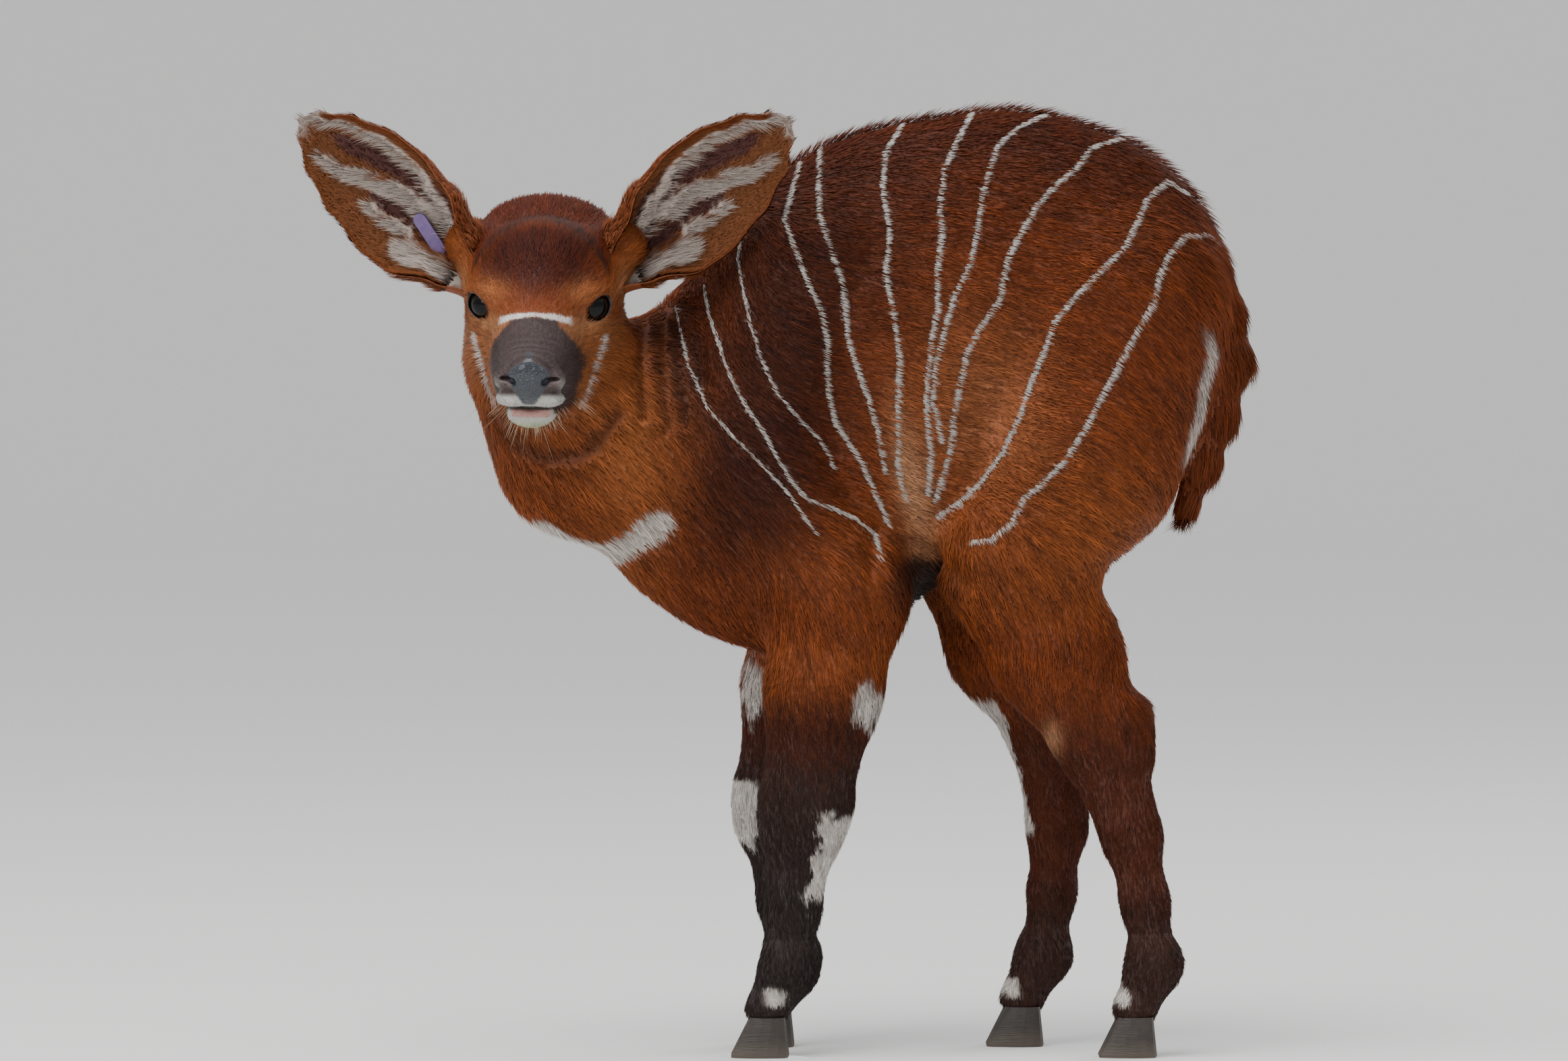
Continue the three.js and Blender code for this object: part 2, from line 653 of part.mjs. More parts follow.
// Legs: each from its cut below the body down to the top of the hooves
function legSolid(masses, cut, side, alongBody) {
  const across = side < 0 ? steps(-120, 11.5, 4) : steps(-4, 11.5, 120);
  const grid = [steps(alongBody[0], 12.5, alongBody[1]), across, steps(10, 15, 130, 24, cut + 40)];
  const whole = skinMesh([...TRUNK, ...masses], grid);
  const hung = trimmed(whole, [0, 0, cut], [0, 0, 1]);
  return trimmed(hung, [0, 0, CORONET_HEIGHT], [0, 0, -1]);
}

// A cloven hoof's two claws, each pointed forward with a flat sole
const CLAW = { length: 44, width: 16.5, apart: 19.5, toeSlope: 15, heelSlope: 3, ahead: 6 };

function clawSolid(pastern, inOrOut) {
  const corners = 14;
  const levels = [0, 0.06, 0.55, 1];
  const top = CORONET_HEIGHT - GAP / 2;
  const middle = [pastern[0] - CLAW.ahead, pastern[1] + (inOrOut * CLAW.apart) / 2];
  const vertices = [];
  for (const level of levels) {
    const toe = -CLAW.length / 2 + CLAW.toeSlope * level + (level === 0 ? 1.2 : 0);
    const heel = CLAW.length / 2 - CLAW.heelSlope * level - (level === 0 ? 1.2 : 0);
    for (let n = 0; n < corners; n++) {
      const angle = (n / corners) * 2 * Math.PI;
      const forward = (1 - Math.cos(angle)) / 2;
      const point = Math.sin(angle) * (0.62 + 0.38 * forward) * (level === 0 ? 0.94 : 1);
      vertices.push([middle[0] + mix(toe, heel, forward), middle[1] + (point * CLAW.width) / 2, level * top]);
    }
  }
  const triangles = [];
  for (let level = 0; level < levels.length - 1; level++) {
    for (let n = 0; n < corners; n++) {
      const [a, b] = [level * corners + n, level * corners + ((n + 1) % corners)];
      triangles.push([a, a + corners, b], [b, a + corners, b + corners]);
    }
  }
  const last = (levels.length - 1) * corners;
  for (let n = 1; n < corners - 1; n++) {
    triangles.push([0, n, n + 1], [last, last + n + 1, last + n]);
  }
  return solidFrom(vertices, triangles);
}

// Ear tag: a narrow bare plate on a round stud, held against the inside of the right ear
function tagSolid() {
  const length = 36;
  const width = 10;
  const thickness = 1.8;
  const place = earPlace(-1);
  const stud = earPoint(-1, 0.19, -0.1, -EAR_THICKNESS / 2);
  const outline = new THREE.Shape();
  const half = width / 2;
  const reach = length / 2 - half;
  outline.absarc(0, reach, half, 0, Math.PI);
  outline.absarc(0, -reach, half, Math.PI, 2 * Math.PI);
  const plate = new THREE.ExtrudeGeometry(outline, { depth: thickness, bevelEnabled: false, curveSegments: 8 });
  const pin = new THREE.CylinderGeometry(3.4, 3.4, 5.4, 12);
  pin.rotateX(Math.PI / 2).translate(0, 0, -1.4);
  const along = new THREE.Vector3(...place.along).addScaledVector(new THREE.Vector3(...place.over), 0.35);
  const face = new THREE.Vector3(...place.face);
  const right = new THREE.Vector3().crossVectors(along, face).normalize();
  const forward = new THREE.Vector3().crossVectors(face, right).normalize();
  const matrix = new THREE.Matrix4().makeBasis(right, forward, face);
  matrix.setPosition(new THREE.Vector3(...stud).addScaledVector(face, 5.2));
  const tag = solidFromGeometry(plate, matrix).add(solidFromGeometry(pin, matrix));
  return tag.subtract(earSolid(-1, 1.5 * GAP));
}

// A lock of hair: a flat, tapered blade that bends away from its root and back in
function lockSolid(root, along, out, length, width, thickness) {
  const rings = 5;
  const sides = 6;
  const across = unit(cross(along, out));
  const lift = cross(across, along);
  const vertices = [];
  for (let ring = 0; ring < rings; ring++) {
    const t = ring / rings;
    const swing = 0.12 * length * Math.sin(Math.PI * Math.min(t * 1.1, 1));
    const middle = plus(plus(root, times(along, t * length)), times(lift, swing));
    const fullness = Math.sqrt(1 - t) * (0.7 + 0.6 * Math.sin(Math.PI * t));
    for (let n = 0; n < sides; n++) {
      const angle = (n / sides) * 2 * Math.PI;
      const aside = times(across, (Math.cos(angle) * width * fullness) / 2);
      const proud = times(lift, (Math.sin(angle) * thickness * fullness) / 2);
      vertices.push(plus(middle, plus(aside, proud)));
    }
  }
  const tip = vertices.push(plus(root, times(along, length))) - 1;
  const triangles = [];
  for (let ring = 0; ring < rings - 1; ring++) {
    for (let n = 0; n < sides; n++) {
      const [a, b] = [ring * sides + n, ring * sides + ((n + 1) % sides)];
      triangles.push([a, b, b + sides], [a, b + sides, a + sides]);
    }
  }
  const last = (rings - 1) * sides;
  for (let n = 0; n < sides; n++) triangles.push([last + n, last + ((n + 1) % sides), tip]);
  for (let n = 1; n < sides - 1; n++) triangles.push([0, n + 1, n]);
  const solid = solidFrom(vertices, triangles);
  return solid.volume() > 0 ? solid : solidFrom(vertices, triangles.map(([a, b, c]) => [a, c, b]));
}

// The long hair of the tail lies down it in overlapping locks, set in a spiral
const TAIL_LOCKS = { count: 15, from: 0.42, to: 0.9, length: 62, width: 15, thickness: 4.5, turn: 137.5 };

function tailLocks() {
  const places = TAIL.map(([at]) => new THREE.Vector3(...at));
  const line = new THREE.CatmullRomCurve3(places, false, "centripetal");
  const radii = curveThrough(TAIL.map(([, radius], i) => [i / (TAIL.length - 1), radius]));
  const locks = [];
  for (let n = 0; n < TAIL_LOCKS.count; n++) {
    const t = mix(TAIL_LOCKS.from, TAIL_LOCKS.to, n / (TAIL_LOCKS.count - 1));
    const along = line.getTangent(t).toArray();
    const angle = THREE.MathUtils.degToRad(n * TAIL_LOCKS.turn + 20);
    const beside = unit(cross(along, [0, 1, 0]));
    const out = plus(times(beside, Math.cos(angle)), times(cross(beside, along), Math.sin(angle)));
    const root = plus(line.getPoint(t).toArray(), times(out, radii(t) * 0.62));
    const vary = 1 + 0.16 * Math.sin(n * 2.4);
    const length = TAIL_LOCKS.length * vary * mix(1.1, 0.72, (n / TAIL_LOCKS.count));
    const lie = unit(plus(along, times(out, 0.1)));
    locks.push(lockSolid(root, lie, out, length, TAIL_LOCKS.width, TAIL_LOCKS.thickness));
  }
  return locks;
}

// The tail is cut clear of the torso that it lies against
function tailSolid() {
  const grid = [steps(270, 11, 372), steps(-44, 9, 40), steps(366, 15, 624)];
  const core = skinMesh(tailMasses(), grid);
  const whole = tailLocks().reduce((joined, lock) => joined.add(lock), core);
  return whole.subtract(torsoSolid(3 * GAP));
}

addNode("torso", torsoSolid(), CHESTNUT);
addNode("neck", neckSolid(), CHESTNUT);
addNode("head", headSolid(), CHESTNUT);
for (const [name, side] of [["left", 1], ["right", -1]]) {
  addNode(`ear_${name}`, earSolid(side), EAR_BUFF);
  addNode(`eye_${name}`, eyeSolid(side), EYE_BLACK, 0.1);
}
addNode("ear_tag", tagSolid(), TAG_PURPLE, 0.5);
addNode("tail", tailSolid(), DARK_CHESTNUT);
for (const [name, side] of [["left", LEFT], ["right", RIGHT]]) {
  addNode(`foreleg_${name}`, legSolid(forelegMasses(side), FORELEG_CUT, side, [-70, 110]), LEG_BROWN);
  addNode(`hindleg_${name}`, legSolid(hindlegMasses(side), HINDLEG_CUT, side, [LEG_ROOM + 1, 330]), LEG_BROWN);
  for (const [claw, inOrOut] of [["inner", -side], ["outer", side]]) {
    addNode(`hoof_fore_${name}_${claw}`, clawSolid(FORELEGS[side].pastern, inOrOut), HOOF_BLACK, 0.5);
    addNode(`hoof_hind_${name}_${claw}`, clawSolid(HINDLEGS[side].pastern, inOrOut), HOOF_BLACK, 0.5);
  }
}

// The origin is on the floor under the middle of the model's own box
const box = new THREE.Box3().setFromObject(group);
const centre = box.getCenter(new THREE.Vector3());
group.position.set(-centre.x, -centre.y, 0);
group.updateMatrixWorld(true);

export default group;
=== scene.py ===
# A standing calf of a striped forest antelope, dressed as a life-size museum model.
# The sections follow the model as it is put together: studio, skin, markings, eyes, ears,
# hooves, tag and coat. Colours are in linear light, and sizes in the studio are metres.
import math
import bpy
import numpy as np
import openvdb
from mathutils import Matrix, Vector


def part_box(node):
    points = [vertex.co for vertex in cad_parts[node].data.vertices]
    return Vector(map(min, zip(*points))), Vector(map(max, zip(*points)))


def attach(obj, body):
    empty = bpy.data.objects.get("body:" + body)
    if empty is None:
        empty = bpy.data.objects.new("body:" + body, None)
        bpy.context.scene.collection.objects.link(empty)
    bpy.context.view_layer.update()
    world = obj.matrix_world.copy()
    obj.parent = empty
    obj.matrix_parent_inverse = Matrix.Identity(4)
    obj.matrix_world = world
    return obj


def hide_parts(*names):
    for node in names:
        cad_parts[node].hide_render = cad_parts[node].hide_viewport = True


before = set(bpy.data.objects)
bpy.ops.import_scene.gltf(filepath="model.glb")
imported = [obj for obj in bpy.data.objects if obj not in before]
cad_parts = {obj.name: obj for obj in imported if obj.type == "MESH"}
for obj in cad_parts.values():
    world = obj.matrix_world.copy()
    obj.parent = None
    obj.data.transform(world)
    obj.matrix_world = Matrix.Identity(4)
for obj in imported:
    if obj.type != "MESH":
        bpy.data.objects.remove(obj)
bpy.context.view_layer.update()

# Studio: a seamless pale bowl of painted board that stands for floor and wall alike, soft
# lights overhead, in front and behind, and a long lens at the animal's own height.
FLOOR_RADIUS = 10.0
FLOOR_CENTRE = 0.02
WALL_RADIUS = 14.0
WALL_HEIGHT = 7.0
BOWL_SIDES = 96
SWEEP_STEPS = 12
FLOOR_COLOUR = (0.80, 0.79, 0.77, 1)
LIGHTS = {
    "overhead": {"place": (-0.7, -1.1, 3.2), "aim": (0, 0, 0.4), "size": 2.4, "power": 92},
    "front": {"place": (-2.4, -3.6, 1.9), "aim": (0, 0, 0.4), "size": 2.0, "power": 34},
    "rim": {"place": (2.6, 2.2, 2.4), "aim": (0, 0, 0.5), "size": 2.0, "power": 34},
}
AIR_COLOUR = (0.95, 0.97, 1.0, 1)
AIR_STRENGTH = 1.0
CAMERA_DISTANCE = 7.0
CAMERA_RISE = math.radians(2)
CAMERA_AIM = (0.0016417, 0.0557389, 0.38675)
FIELD_WIDTH = 1.162
SENSOR_WIDTH = 36.0
VIEW_END = 100.0


class Wire:
    """A number that flows between shader nodes, so that shader maths reads as maths."""

    def __init__(self, finish, socket):
        self.finish = finish
        self.socket = socket

    def maths(self, operation, first, second):
        return self.finish.node("ShaderNodeMath", {"operation": operation}, {0: first, 1: second})

    def __add__(self, other):
        return self.maths("ADD", self, other)

    def __radd__(self, other):
        return self.maths("ADD", other, self)

    def __rsub__(self, other):
        return self.maths("SUBTRACT", other, self)

    def __mul__(self, other):
        return self.maths("MULTIPLY", self, other)

    def __rmul__(self, other):
        return self.maths("MULTIPLY", other, self)


class Finish:
    """A material under construction, with one principled shader."""

    def __init__(self, name, **fixed):
        self.material = bpy.data.materials.new(name)
        self.material.use_nodes = True
        self.tree = self.material.node_tree
        self.shader = self.tree.nodes["Principled BSDF"]
        for socket, value in fixed.items():
            self.shader.inputs[socket.replace("_", " ")].default_value = value

    def node(self, kind, settings=None, values=None, output=0):
        made = self.tree.nodes.new(kind)
        for key, value in (settings or {}).items():
            setattr(made, key, value)
        for key, value in (values or {}).items():
            self.join(value, made.inputs[key])
        return Wire(self, made.outputs[output])

    def join(self, value, socket):
        if isinstance(value, Wire):
            self.tree.links.new(value.socket, socket)
        else:
            socket.default_value = value

    def feed(self, **wires):
        for socket, wire in wires.items():
            self.join(wire, self.shader.inputs[socket.replace("_", " ")])

    def attribute(self, name, output="Fac"):
        return self.node("ShaderNodeAttribute", {"attribute_name": name}, output=output)

    def place(self):
        return self.node("ShaderNodeTexCoord", output="Object")

    def noise(self, scale, detail=2.0, where=None, output="Fac"):
        values = {"Scale": scale, "Detail": detail, "Vector": where or self.place()}
        return self.node("ShaderNodeTexNoise", {}, values, output=output)

    def mix(self, amount, first, second, kind="MIX"):
        settings = {"data_type": "RGBA", "blend_type": kind}
        values = {0: amount, 6: first, 7: second}
        return self.node("ShaderNodeMix", settings, values, output=2)

    def ramp(self, value, start, end):
        values = {"Value": value, "From Min": start, "From Max": end}
        return self.node("ShaderNodeMapRange", {}, values)

    def bump(self, height, depth, normal=None):
        values = {"Height": height, "Distance": depth, "Strength": 1.0}
        if normal:
            values["Normal"] = normal
        return self.node("ShaderNodeBump", {}, values)


def mesh_object(name, places, faces, material=None, smooth=True):
    """A mesh from places in metres and faces that all have the same number of corners."""
    faces = np.asarray(faces, np.int32)
    mesh = bpy.data.meshes.new(name)
    mesh.vertices.add(len(places))
    mesh.vertices.foreach_set("co", np.asarray(places, np.float32).ravel())
    mesh.loops.add(faces.size)
    mesh.loops.foreach_set("vertex_index", faces.ravel())
    mesh.polygons.add(len(faces))
    corners = faces.shape[1]
    mesh.polygons.foreach_set("loop_start", np.arange(0, faces.size, corners, dtype=np.int32))
    mesh.polygons.foreach_set("use_smooth", np.full(len(faces), smooth))
    mesh.update(calc_edges=True)
    mesh.validate()
    if material:
        mesh.materials.append(material)
    made = bpy.data.objects.new(name, mesh)
    bpy.context.scene.collection.objects.link(made)
    return made


def studio_bowl():
    profile = [(FLOOR_CENTRE, 0.0), (FLOOR_RADIUS, 0.0)]
    sweep = WALL_RADIUS - FLOOR_RADIUS
    for step in range(1, SWEEP_STEPS + 1):
        angle = step / SWEEP_STEPS * math.pi / 2
        profile.append((FLOOR_RADIUS + sweep * math.sin(angle), sweep * (1 - math.cos(angle))))
    profile.append((WALL_RADIUS, WALL_HEIGHT))
    turns = [2 * math.pi * n / BOWL_SIDES for n in range(BOWL_SIDES)]
    places = [(r * math.cos(turn), r * math.sin(turn), z) for r, z in profile for turn in turns]
    faces = []
    for ring in range(len(profile) - 1):
        for n in range(BOWL_SIDES):
            a, b = ring * BOWL_SIDES + n, ring * BOWL_SIDES + (n + 1) % BOWL_SIDES
            faces.append((b, a, a + BOWL_SIDES, b + BOWL_SIDES))
    paint = Finish("studio_paint", Base_Color=FLOOR_COLOUR, Roughness=0.95)
    bowl = mesh_object("studio_bowl", places, faces, paint.material)


def soft_light(name, place, aim, size, power):
    lamp = bpy.data.lights.new(name, "AREA")
    lamp.shape = "DISK"
    lamp.size = size
    lamp.energy = power
    holder = bpy.data.objects.new(name, lamp)
    bpy.context.scene.collection.objects.link(holder)
    holder.location = place
    away = np.asarray(place, float) - np.asarray(aim, float)
    holder.rotation_mode = "QUATERNION"
    holder.rotation_quaternion = Vector(away).to_track_quat("Z", "Y")


def camera():
    lens = bpy.data.cameras.new("camera")
    lens.sensor_width = SENSOR_WIDTH
    lens.lens = SENSOR_WIDTH * CAMERA_DISTANCE / FIELD_WIDTH
    lens.clip_end = VIEW_END
    holder = bpy.data.objects.new("camera", lens)
    bpy.context.scene.collection.objects.link(holder)
    back = Vector((0, -math.cos(CAMERA_RISE), math.sin(CAMERA_RISE)))
    holder.location = Vector(CAMERA_AIM) + back * CAMERA_DISTANCE
    holder.rotation_mode = "QUATERNION"
    holder.rotation_quaternion = back.to_track_quat("Z", "Y")
    bpy.context.scene.camera = holder


studio_bowl()
for light_name, light in LIGHTS.items():
    soft_light(light_name, **light)
camera()
world = bpy.data.worlds.new("studio_air")
world.use_nodes = True
air = world.node_tree.nodes["Background"]
air.inputs["Color"].default_value = AIR_COLOUR
air.inputs["Strength"].default_value = AIR_STRENGTH
bpy.context.scene.world = world

# Skin: one soft hide over the whole calf, from the lips to the tail and down to the
# hooves. It is grown from the same rounded masses as the solids and lies a coat's depth
# inside them, with lids, nostrils, lips and folds pressed into it before it is meshed.
MM = 0.001
NOD_DOWN = math.radians(16)
HEAD_TURN = math.radians(3)
HEAD_LEAN = math.radians(-1)
HEAD_AT = np.array([-178.0, -112.0, 553.0])
EYE_PLACE = (1.0, 36.0, 3.5)
EYE_RADIUS = 15.0
EYE_TURN = math.radians(33)
EYE_CANT = math.radians(16)
EYE_TILT = 0.06
HOOF_TOP = 28.0
LEFT = -1
RIGHT = 1
FAR = 60.0
MASS_MARGIN = 12
TINY = 1e-6
SMALLEST = 1e-9


def unit(v):
    """One direction, or rows of them, made one long."""
    v = np.asarray(v, float)
    return v / (np.linalg.norm(v, axis=-1, keepdims=True) + SMALLEST)


def head_axes():
    """The axes of every place on the face: along the nose, to its left and up the skull."""
    forward = np.array([-math.sin(HEAD_TURN), -math.cos(HEAD_TURN), 0.0])
    nose = forward * math.cos(NOD_DOWN) - np.array([0, 0, math.sin(NOD_DOWN)])
    level = unit(np.cross([0, 0, 1], forward))
    above = np.cross(nose, level)
    left = level * math.cos(HEAD_LEAN) + above * math.sin(HEAD_LEAN)
    up = above * math.cos(HEAD_LEAN) - level * math.sin(HEAD_LEAN)
    return np.stack([nose, left, up], axis=1)


HEAD_AXES = head_axes()
WORLD = (np.eye(3), np.zeros(3))
HEAD = (HEAD_AXES, HEAD_AT)


def to_world(place, axes):
    return np.asarray(place, float) @ axes[0].T + axes[1]


def to_axes(place, axes):
    return (place - axes[1]) @ axes[0]


# Places are millimetres round the design's own origin. Packing centred the model, so the
# eye's solid tells how far it was moved.
eye_low, eye_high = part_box("eye_left")
MODEL_SHIFT = (np.array(eye_low) + np.array(eye_high)) / 2 / MM - to_world(EYE_PLACE, HEAD)


def to_metres(places):
    return (np.asarray(places) + MODEL_SHIFT) * MM


class Mass:
    """A rounded cone from one place to another, stretched along the axes it lies in."""

    def __init__(self, start, end, start_radius, end_radius, blend, stretch=(1, 1, 1), axes=WORLD):
        self.stretch = np.array(stretch, float)
        self.start = np.array(start, float) / self.stretch
        self.line = np.array(end, float) / self.stretch - self.start
        self.radii = (start_radius, end_radius)
        self.blend = blend
        self.axes = axes
        ends = []
        for place, radius in ((start, start_radius), (end, end_radius)):
            reach = np.abs(axes[0]) @ (radius * self.stretch)
            ends += [to_world(place, axes) - reach, to_world(place, axes) + reach]
        self.low = np.min(ends, axis=0) - blend - MASS_MARGIN
        self.high = np.max(ends, axis=0) + blend + MASS_MARGIN

    def distance(self, x, y, z):
        turn, at = self.axes
        away = [x - at[0], y - at[1], z - at[2]]
        if self.axes is not WORLD:
            away = [sum(away[m] * turn[m, n] for m in range(3)) for n in range(3)]
        away = [away[n] / self.stretch[n] - self.start[n] for n in range(3)]
        square = float(self.line @ self.line)
        radius = self.radii[0]
        if square > SMALLEST:
            t = sum(away[n] * (self.line[n] / square) for n in range(3))
            t = np.clip(t, 0, 1)
            away = [away[n] - t * self.line[n] for n in range(3)]
            radius = self.radii[0] + (self.radii[1] - self.radii[0]) * t
        length = np.sqrt(away[0] ** 2 + away[1] ** 2 + away[2] ** 2) + TINY
        slope = np.sqrt(sum((away[n] / self.stretch[n]) ** 2 for n in range(3))) / length + SMALLEST
        return (length - radius) / slope


def ball(at, radii, blend, axes=WORLD):
    return Mass(at, at, 1, 1, blend, radii, axes)


def melt(a, b, blend):
    h = np.maximum(blend - np.abs(a - b), 0) / blend
    return np.minimum(a, b) - h * h * blend / 4


def mirrored(place, side):
    return (place[0], side * place[1], place[2])


def flesh(form, axes=WORLD, side=1):
    """A mass from a form's numbers: three of them make a ball and more a rounded cone."""
    if len(form) == 3:
        at, radii, blend = form
        return ball(mirrored(at, side), radii, blend, axes)
    start, end, *rest = form
    return Mass(mirrored(start, side), mirrored(end, side), *rest, axes=axes)


TRUNK_FORMS = {
    "ribs": ((78, 0, 512), (135, 84, 173), 30),
    "loin": ((165, 0, 548), (130, 86, 152), 40),
    "rump": ((236, 0, 540), (98, 78, 132), 40),
    "withers": ((10, 0, 520), (80, 62, 115), 40),
    "breast": ((-55, 0, 425), (88, 64, 105), 40),
    "breastbone": ((10, 0, 345), (84, 52, 52), 30),
}
SIDE_FORMS = {
    "shoulder": ((25, 48, 590), (-25, 56, 445), 38, 48, 30, (1, 0.8, 1)),
    "upper arm": ((-25, 56, 440), (42, 52, 345), 46, 44, 30, (1, 0.8, 1)),
    "thigh": ((258, 42, 555), (222, 50, 440), 60, 66, 30, (1, 0.75, 1)),
    "knee": ((222, 50, 440), (172, 54, 365), 62, 50, 30, (1, 0.75, 1)),
}
NECK_FORMS = {
    "nape": ((-35, 5, 492), (-105, -8, 464), 78, 66, 40, (1, 0.9, 1.05)),
    "nape at the poll": ((-105, -8, 464), (-165, -52, 500), 66, 56, 30),
    "throat": ((-62, 0, 437), (-148, -30, 448), 80, 61, 30, (1, 0.85, 1)),
    "throat at the jaw": ((-148, -30, 448), (-172, -62, 505), 60, 55, 30),
}


def trunk_masses():
    masses = [flesh(form) for form in TRUNK_FORMS.values()]
    for side in (LEFT, RIGHT):
        masses += [flesh(form, WORLD, side) for form in SIDE_FORMS.values()]
    return masses


FORELEGS = {
    LEFT: {"elbow": (38, -50, 330), "forearm": (29, -50, 270), "knee": (15, -48, 182),
           "shin": (7, -48, 110), "fetlock": (4, -48, 66), "pastern": (-12, -48, 36)},
    RIGHT: {"elbow": (30, 50, 330), "forearm": (12, 46, 270), "knee": (-5, 42, 182),
            "shin": (0, 42, 110), "fetlock": (6, 42, 66), "pastern": (-8, 42, 36)},
}
HINDLEGS = {
    LEFT: {"stifle": (168, -54, 365), "gaskin": (200, -50, 300), "hock": (232, -46, 240),
           "shank": (256, -46, 165), "cannon": (266, -46, 115), "fetlock": (273, -46, 68),
           "pastern": (259, -46, 36)},
    RIGHT: {"stifle": (150, 55, 365), "gaskin": (170, 50, 300), "hock": (200, 46, 242),
            "shank": (204, 46, 165), "cannon": (200, 46, 115), "fetlock": (194, 46, 68),
            "pastern": (178, 46, 36)},
}


def moved(place, by):
    return tuple(a + b for a, b in zip(place, by))


FORELEG_FORMS = {
    "upper arm": ("elbow", "forearm", 50, 42, 25, (1, 0.78, 1)),
    "forearm": ("forearm", "knee", 42, 32, 18, (1, 0.78, 1)),
    "knee cap": ("knee", "knee", 33, 29, 14, (1, 0.78, 1)),
    "shin": ("knee", "shin", 29, 20, 14, (1, 0.85, 1)),
    "cannon": ("shin", "fetlock", 18.5, 19, 12, (1, 0.9, 1)),
    "fetlock": ("fetlock", "fetlock", 21, 21, 12),
    "pastern": ("fetlock", "pastern", 18, 18, 12, (1, 1.05, 1)),
}
HINDLEG_FORMS = {
    "thigh": ("stifle", "gaskin", 54, 48, 25, (1, 0.72, 1)),
    "gaskin": ("gaskin", "hock", 47, 36, 18, (1, 0.72, 1)),
    "hock point": ("hock", "hock", 10, 13, 16),
    "hock": ("hock", "shank", 35, 22, 14, (1, 0.75, 1)),
    "shank": ("shank", "cannon", 21, 17.5, 14, (1, 0.9, 1)),
    "cannon": ("cannon", "fetlock", 17, 17, 12),
    "fetlock": ("fetlock", "fetlock", 20.5, 20.5, 12),
    "pastern": ("fetlock", "pastern", 17.5, 18, 12, (1, 1.05, 1)),
}
NO_OFFSET = ((0, 0, 0), (0, 0, 0))
FORM_OFFSETS = {
    "knee cap": ((2, 0, 6), (-2, 0, -12)),
    "hock point": ((30, 0, 16), (28, 0, -16)),
}


def leg_masses(joints, forms):
    masses = []
    for name, (start, end, *numbers) in forms.items():
        first, last = FORM_OFFSETS.get(name, NO_OFFSET)
        masses.append(Mass(moved(joints[start], first), moved(joints[end], last), *numbers))
    return masses


def eye_axes(side):
    """Out of the eye, along its slit and up, on the face's own left for side 1."""
    out = unit((math.cos(EYE_TURN), side * math.sin(EYE_TURN), EYE_TILT))
    level = unit(np.cross([0, 0, 1], out))
    above = np.cross(out, level)
    cant = EYE_CANT * side
    along = level * math.cos(cant) + above * math.sin(cant)
    rise = above * math.cos(cant) - level * math.sin(cant)
    turned = np.stack([HEAD_AXES @ out, HEAD_AXES @ along, HEAD_AXES @ rise], axis=1)
    return turned, to_world(mirrored(EYE_PLACE, side), HEAD)


BOTH_SIDES = (-1, 1)
MIDDLE = (1,)
LID_RADIUS = EYE_RADIUS + 3.4
SKULL_FORMS = {
    "braincase": ((-36, 0, 6), (62, 56, 50), 20),
    "forehead": ((-16, 0, 12), (44, 50, 44), 16),
    "poll": ((-82, 0, 31), (30, 53, 33), 16),
    "bridge": ((5, 0, -6), (84, 0, -24), 38, 22, 16),
    "muzzle": ((92, 0, -27), (18, 23, 19), 10),
    "jaw": ((-45, 0, -62), (70, 0, -54), 22, 12, 16, (1, 1.25, 1)),
    "chin": ((82, 0, -54), (15, 19, 12), 8),
}
CHEEK_FORMS = {
    "jowl": ((-36, 32, -30), (46, 26, 44), 18),
    "cheek": ((12, 20, -40), (46, 15, 24), 18),
    "ear root": ((-50, 36, 18), (-60, 55, 30), 29, 21, 14),
    "brow": ((0, 36, 14), (22, 15, 14), 12),
}
LID_FORM = ((0, 0, 0), (LID_RADIUS,) * 3, 7)
NOSE_FORMS = {
    "pad": (MIDDLE, ((103, 0, -20), (9, 16, 15), 4)),
    "wing": (BOTH_SIDES, ((97, 20, -24), (9, 7, 8), 4)),
    "upper lip": (BOTH_SIDES, ((95, 13, -39.5), (13, 13, 6.5), 3.5)),
    "lower lip": (MIDDLE, ((91, 0, -50), (9, 17, 6), 4)),
}


def head_masses():
    masses = [flesh(form, HEAD) for form in SKULL_FORMS.values()]
    for side in BOTH_SIDES:
        masses += [flesh(form, HEAD, side) for form in CHEEK_FORMS.values()]
    masses += [flesh(LID_FORM, eye_axes(side)) for side in BOTH_SIDES]
    for sides, form in NOSE_FORMS.values():
        masses += [flesh(form, HEAD, side) for side in sides]
    return masses


TAIL_LINE = [((306, 0, 586), 18), ((321, 0, 548), 18.5), ((328, -2, 515), 18),
             ((319, -4, 475), 17.5), ((309.5, -5, 440), 15), ((300, -6, 410), 9),
             ((296, -6, 394), 3)]
TAIL_BLEND = 14
TAIL_STRETCH = (1, 0.8, 1)


def tail_masses():
    return [Mass(a, b, ra, rb, TAIL_BLEND, TAIL_STRETCH)
            for (a, ra), (b, rb) in zip(TAIL_LINE, TAIL_LINE[1:])]


LIMBS = ("foreleg_left", "foreleg_right", "hindleg_left", "hindleg_right")
MASSES = {
    "trunk": trunk_masses(),
    "neck": [flesh(form) for form in NECK_FORMS.values()],
    "foreleg_left": leg_masses(FORELEGS[LEFT], FORELEG_FORMS),
    "foreleg_right": leg_masses(FORELEGS[RIGHT], FORELEG_FORMS),
    "hindleg_left": leg_masses(HINDLEGS[LEFT], HINDLEG_FORMS),
    "hindleg_right": leg_masses(HINDLEGS[RIGHT], HINDLEG_FORMS),
    "head": head_masses(),
    "tail": tail_masses(),
}


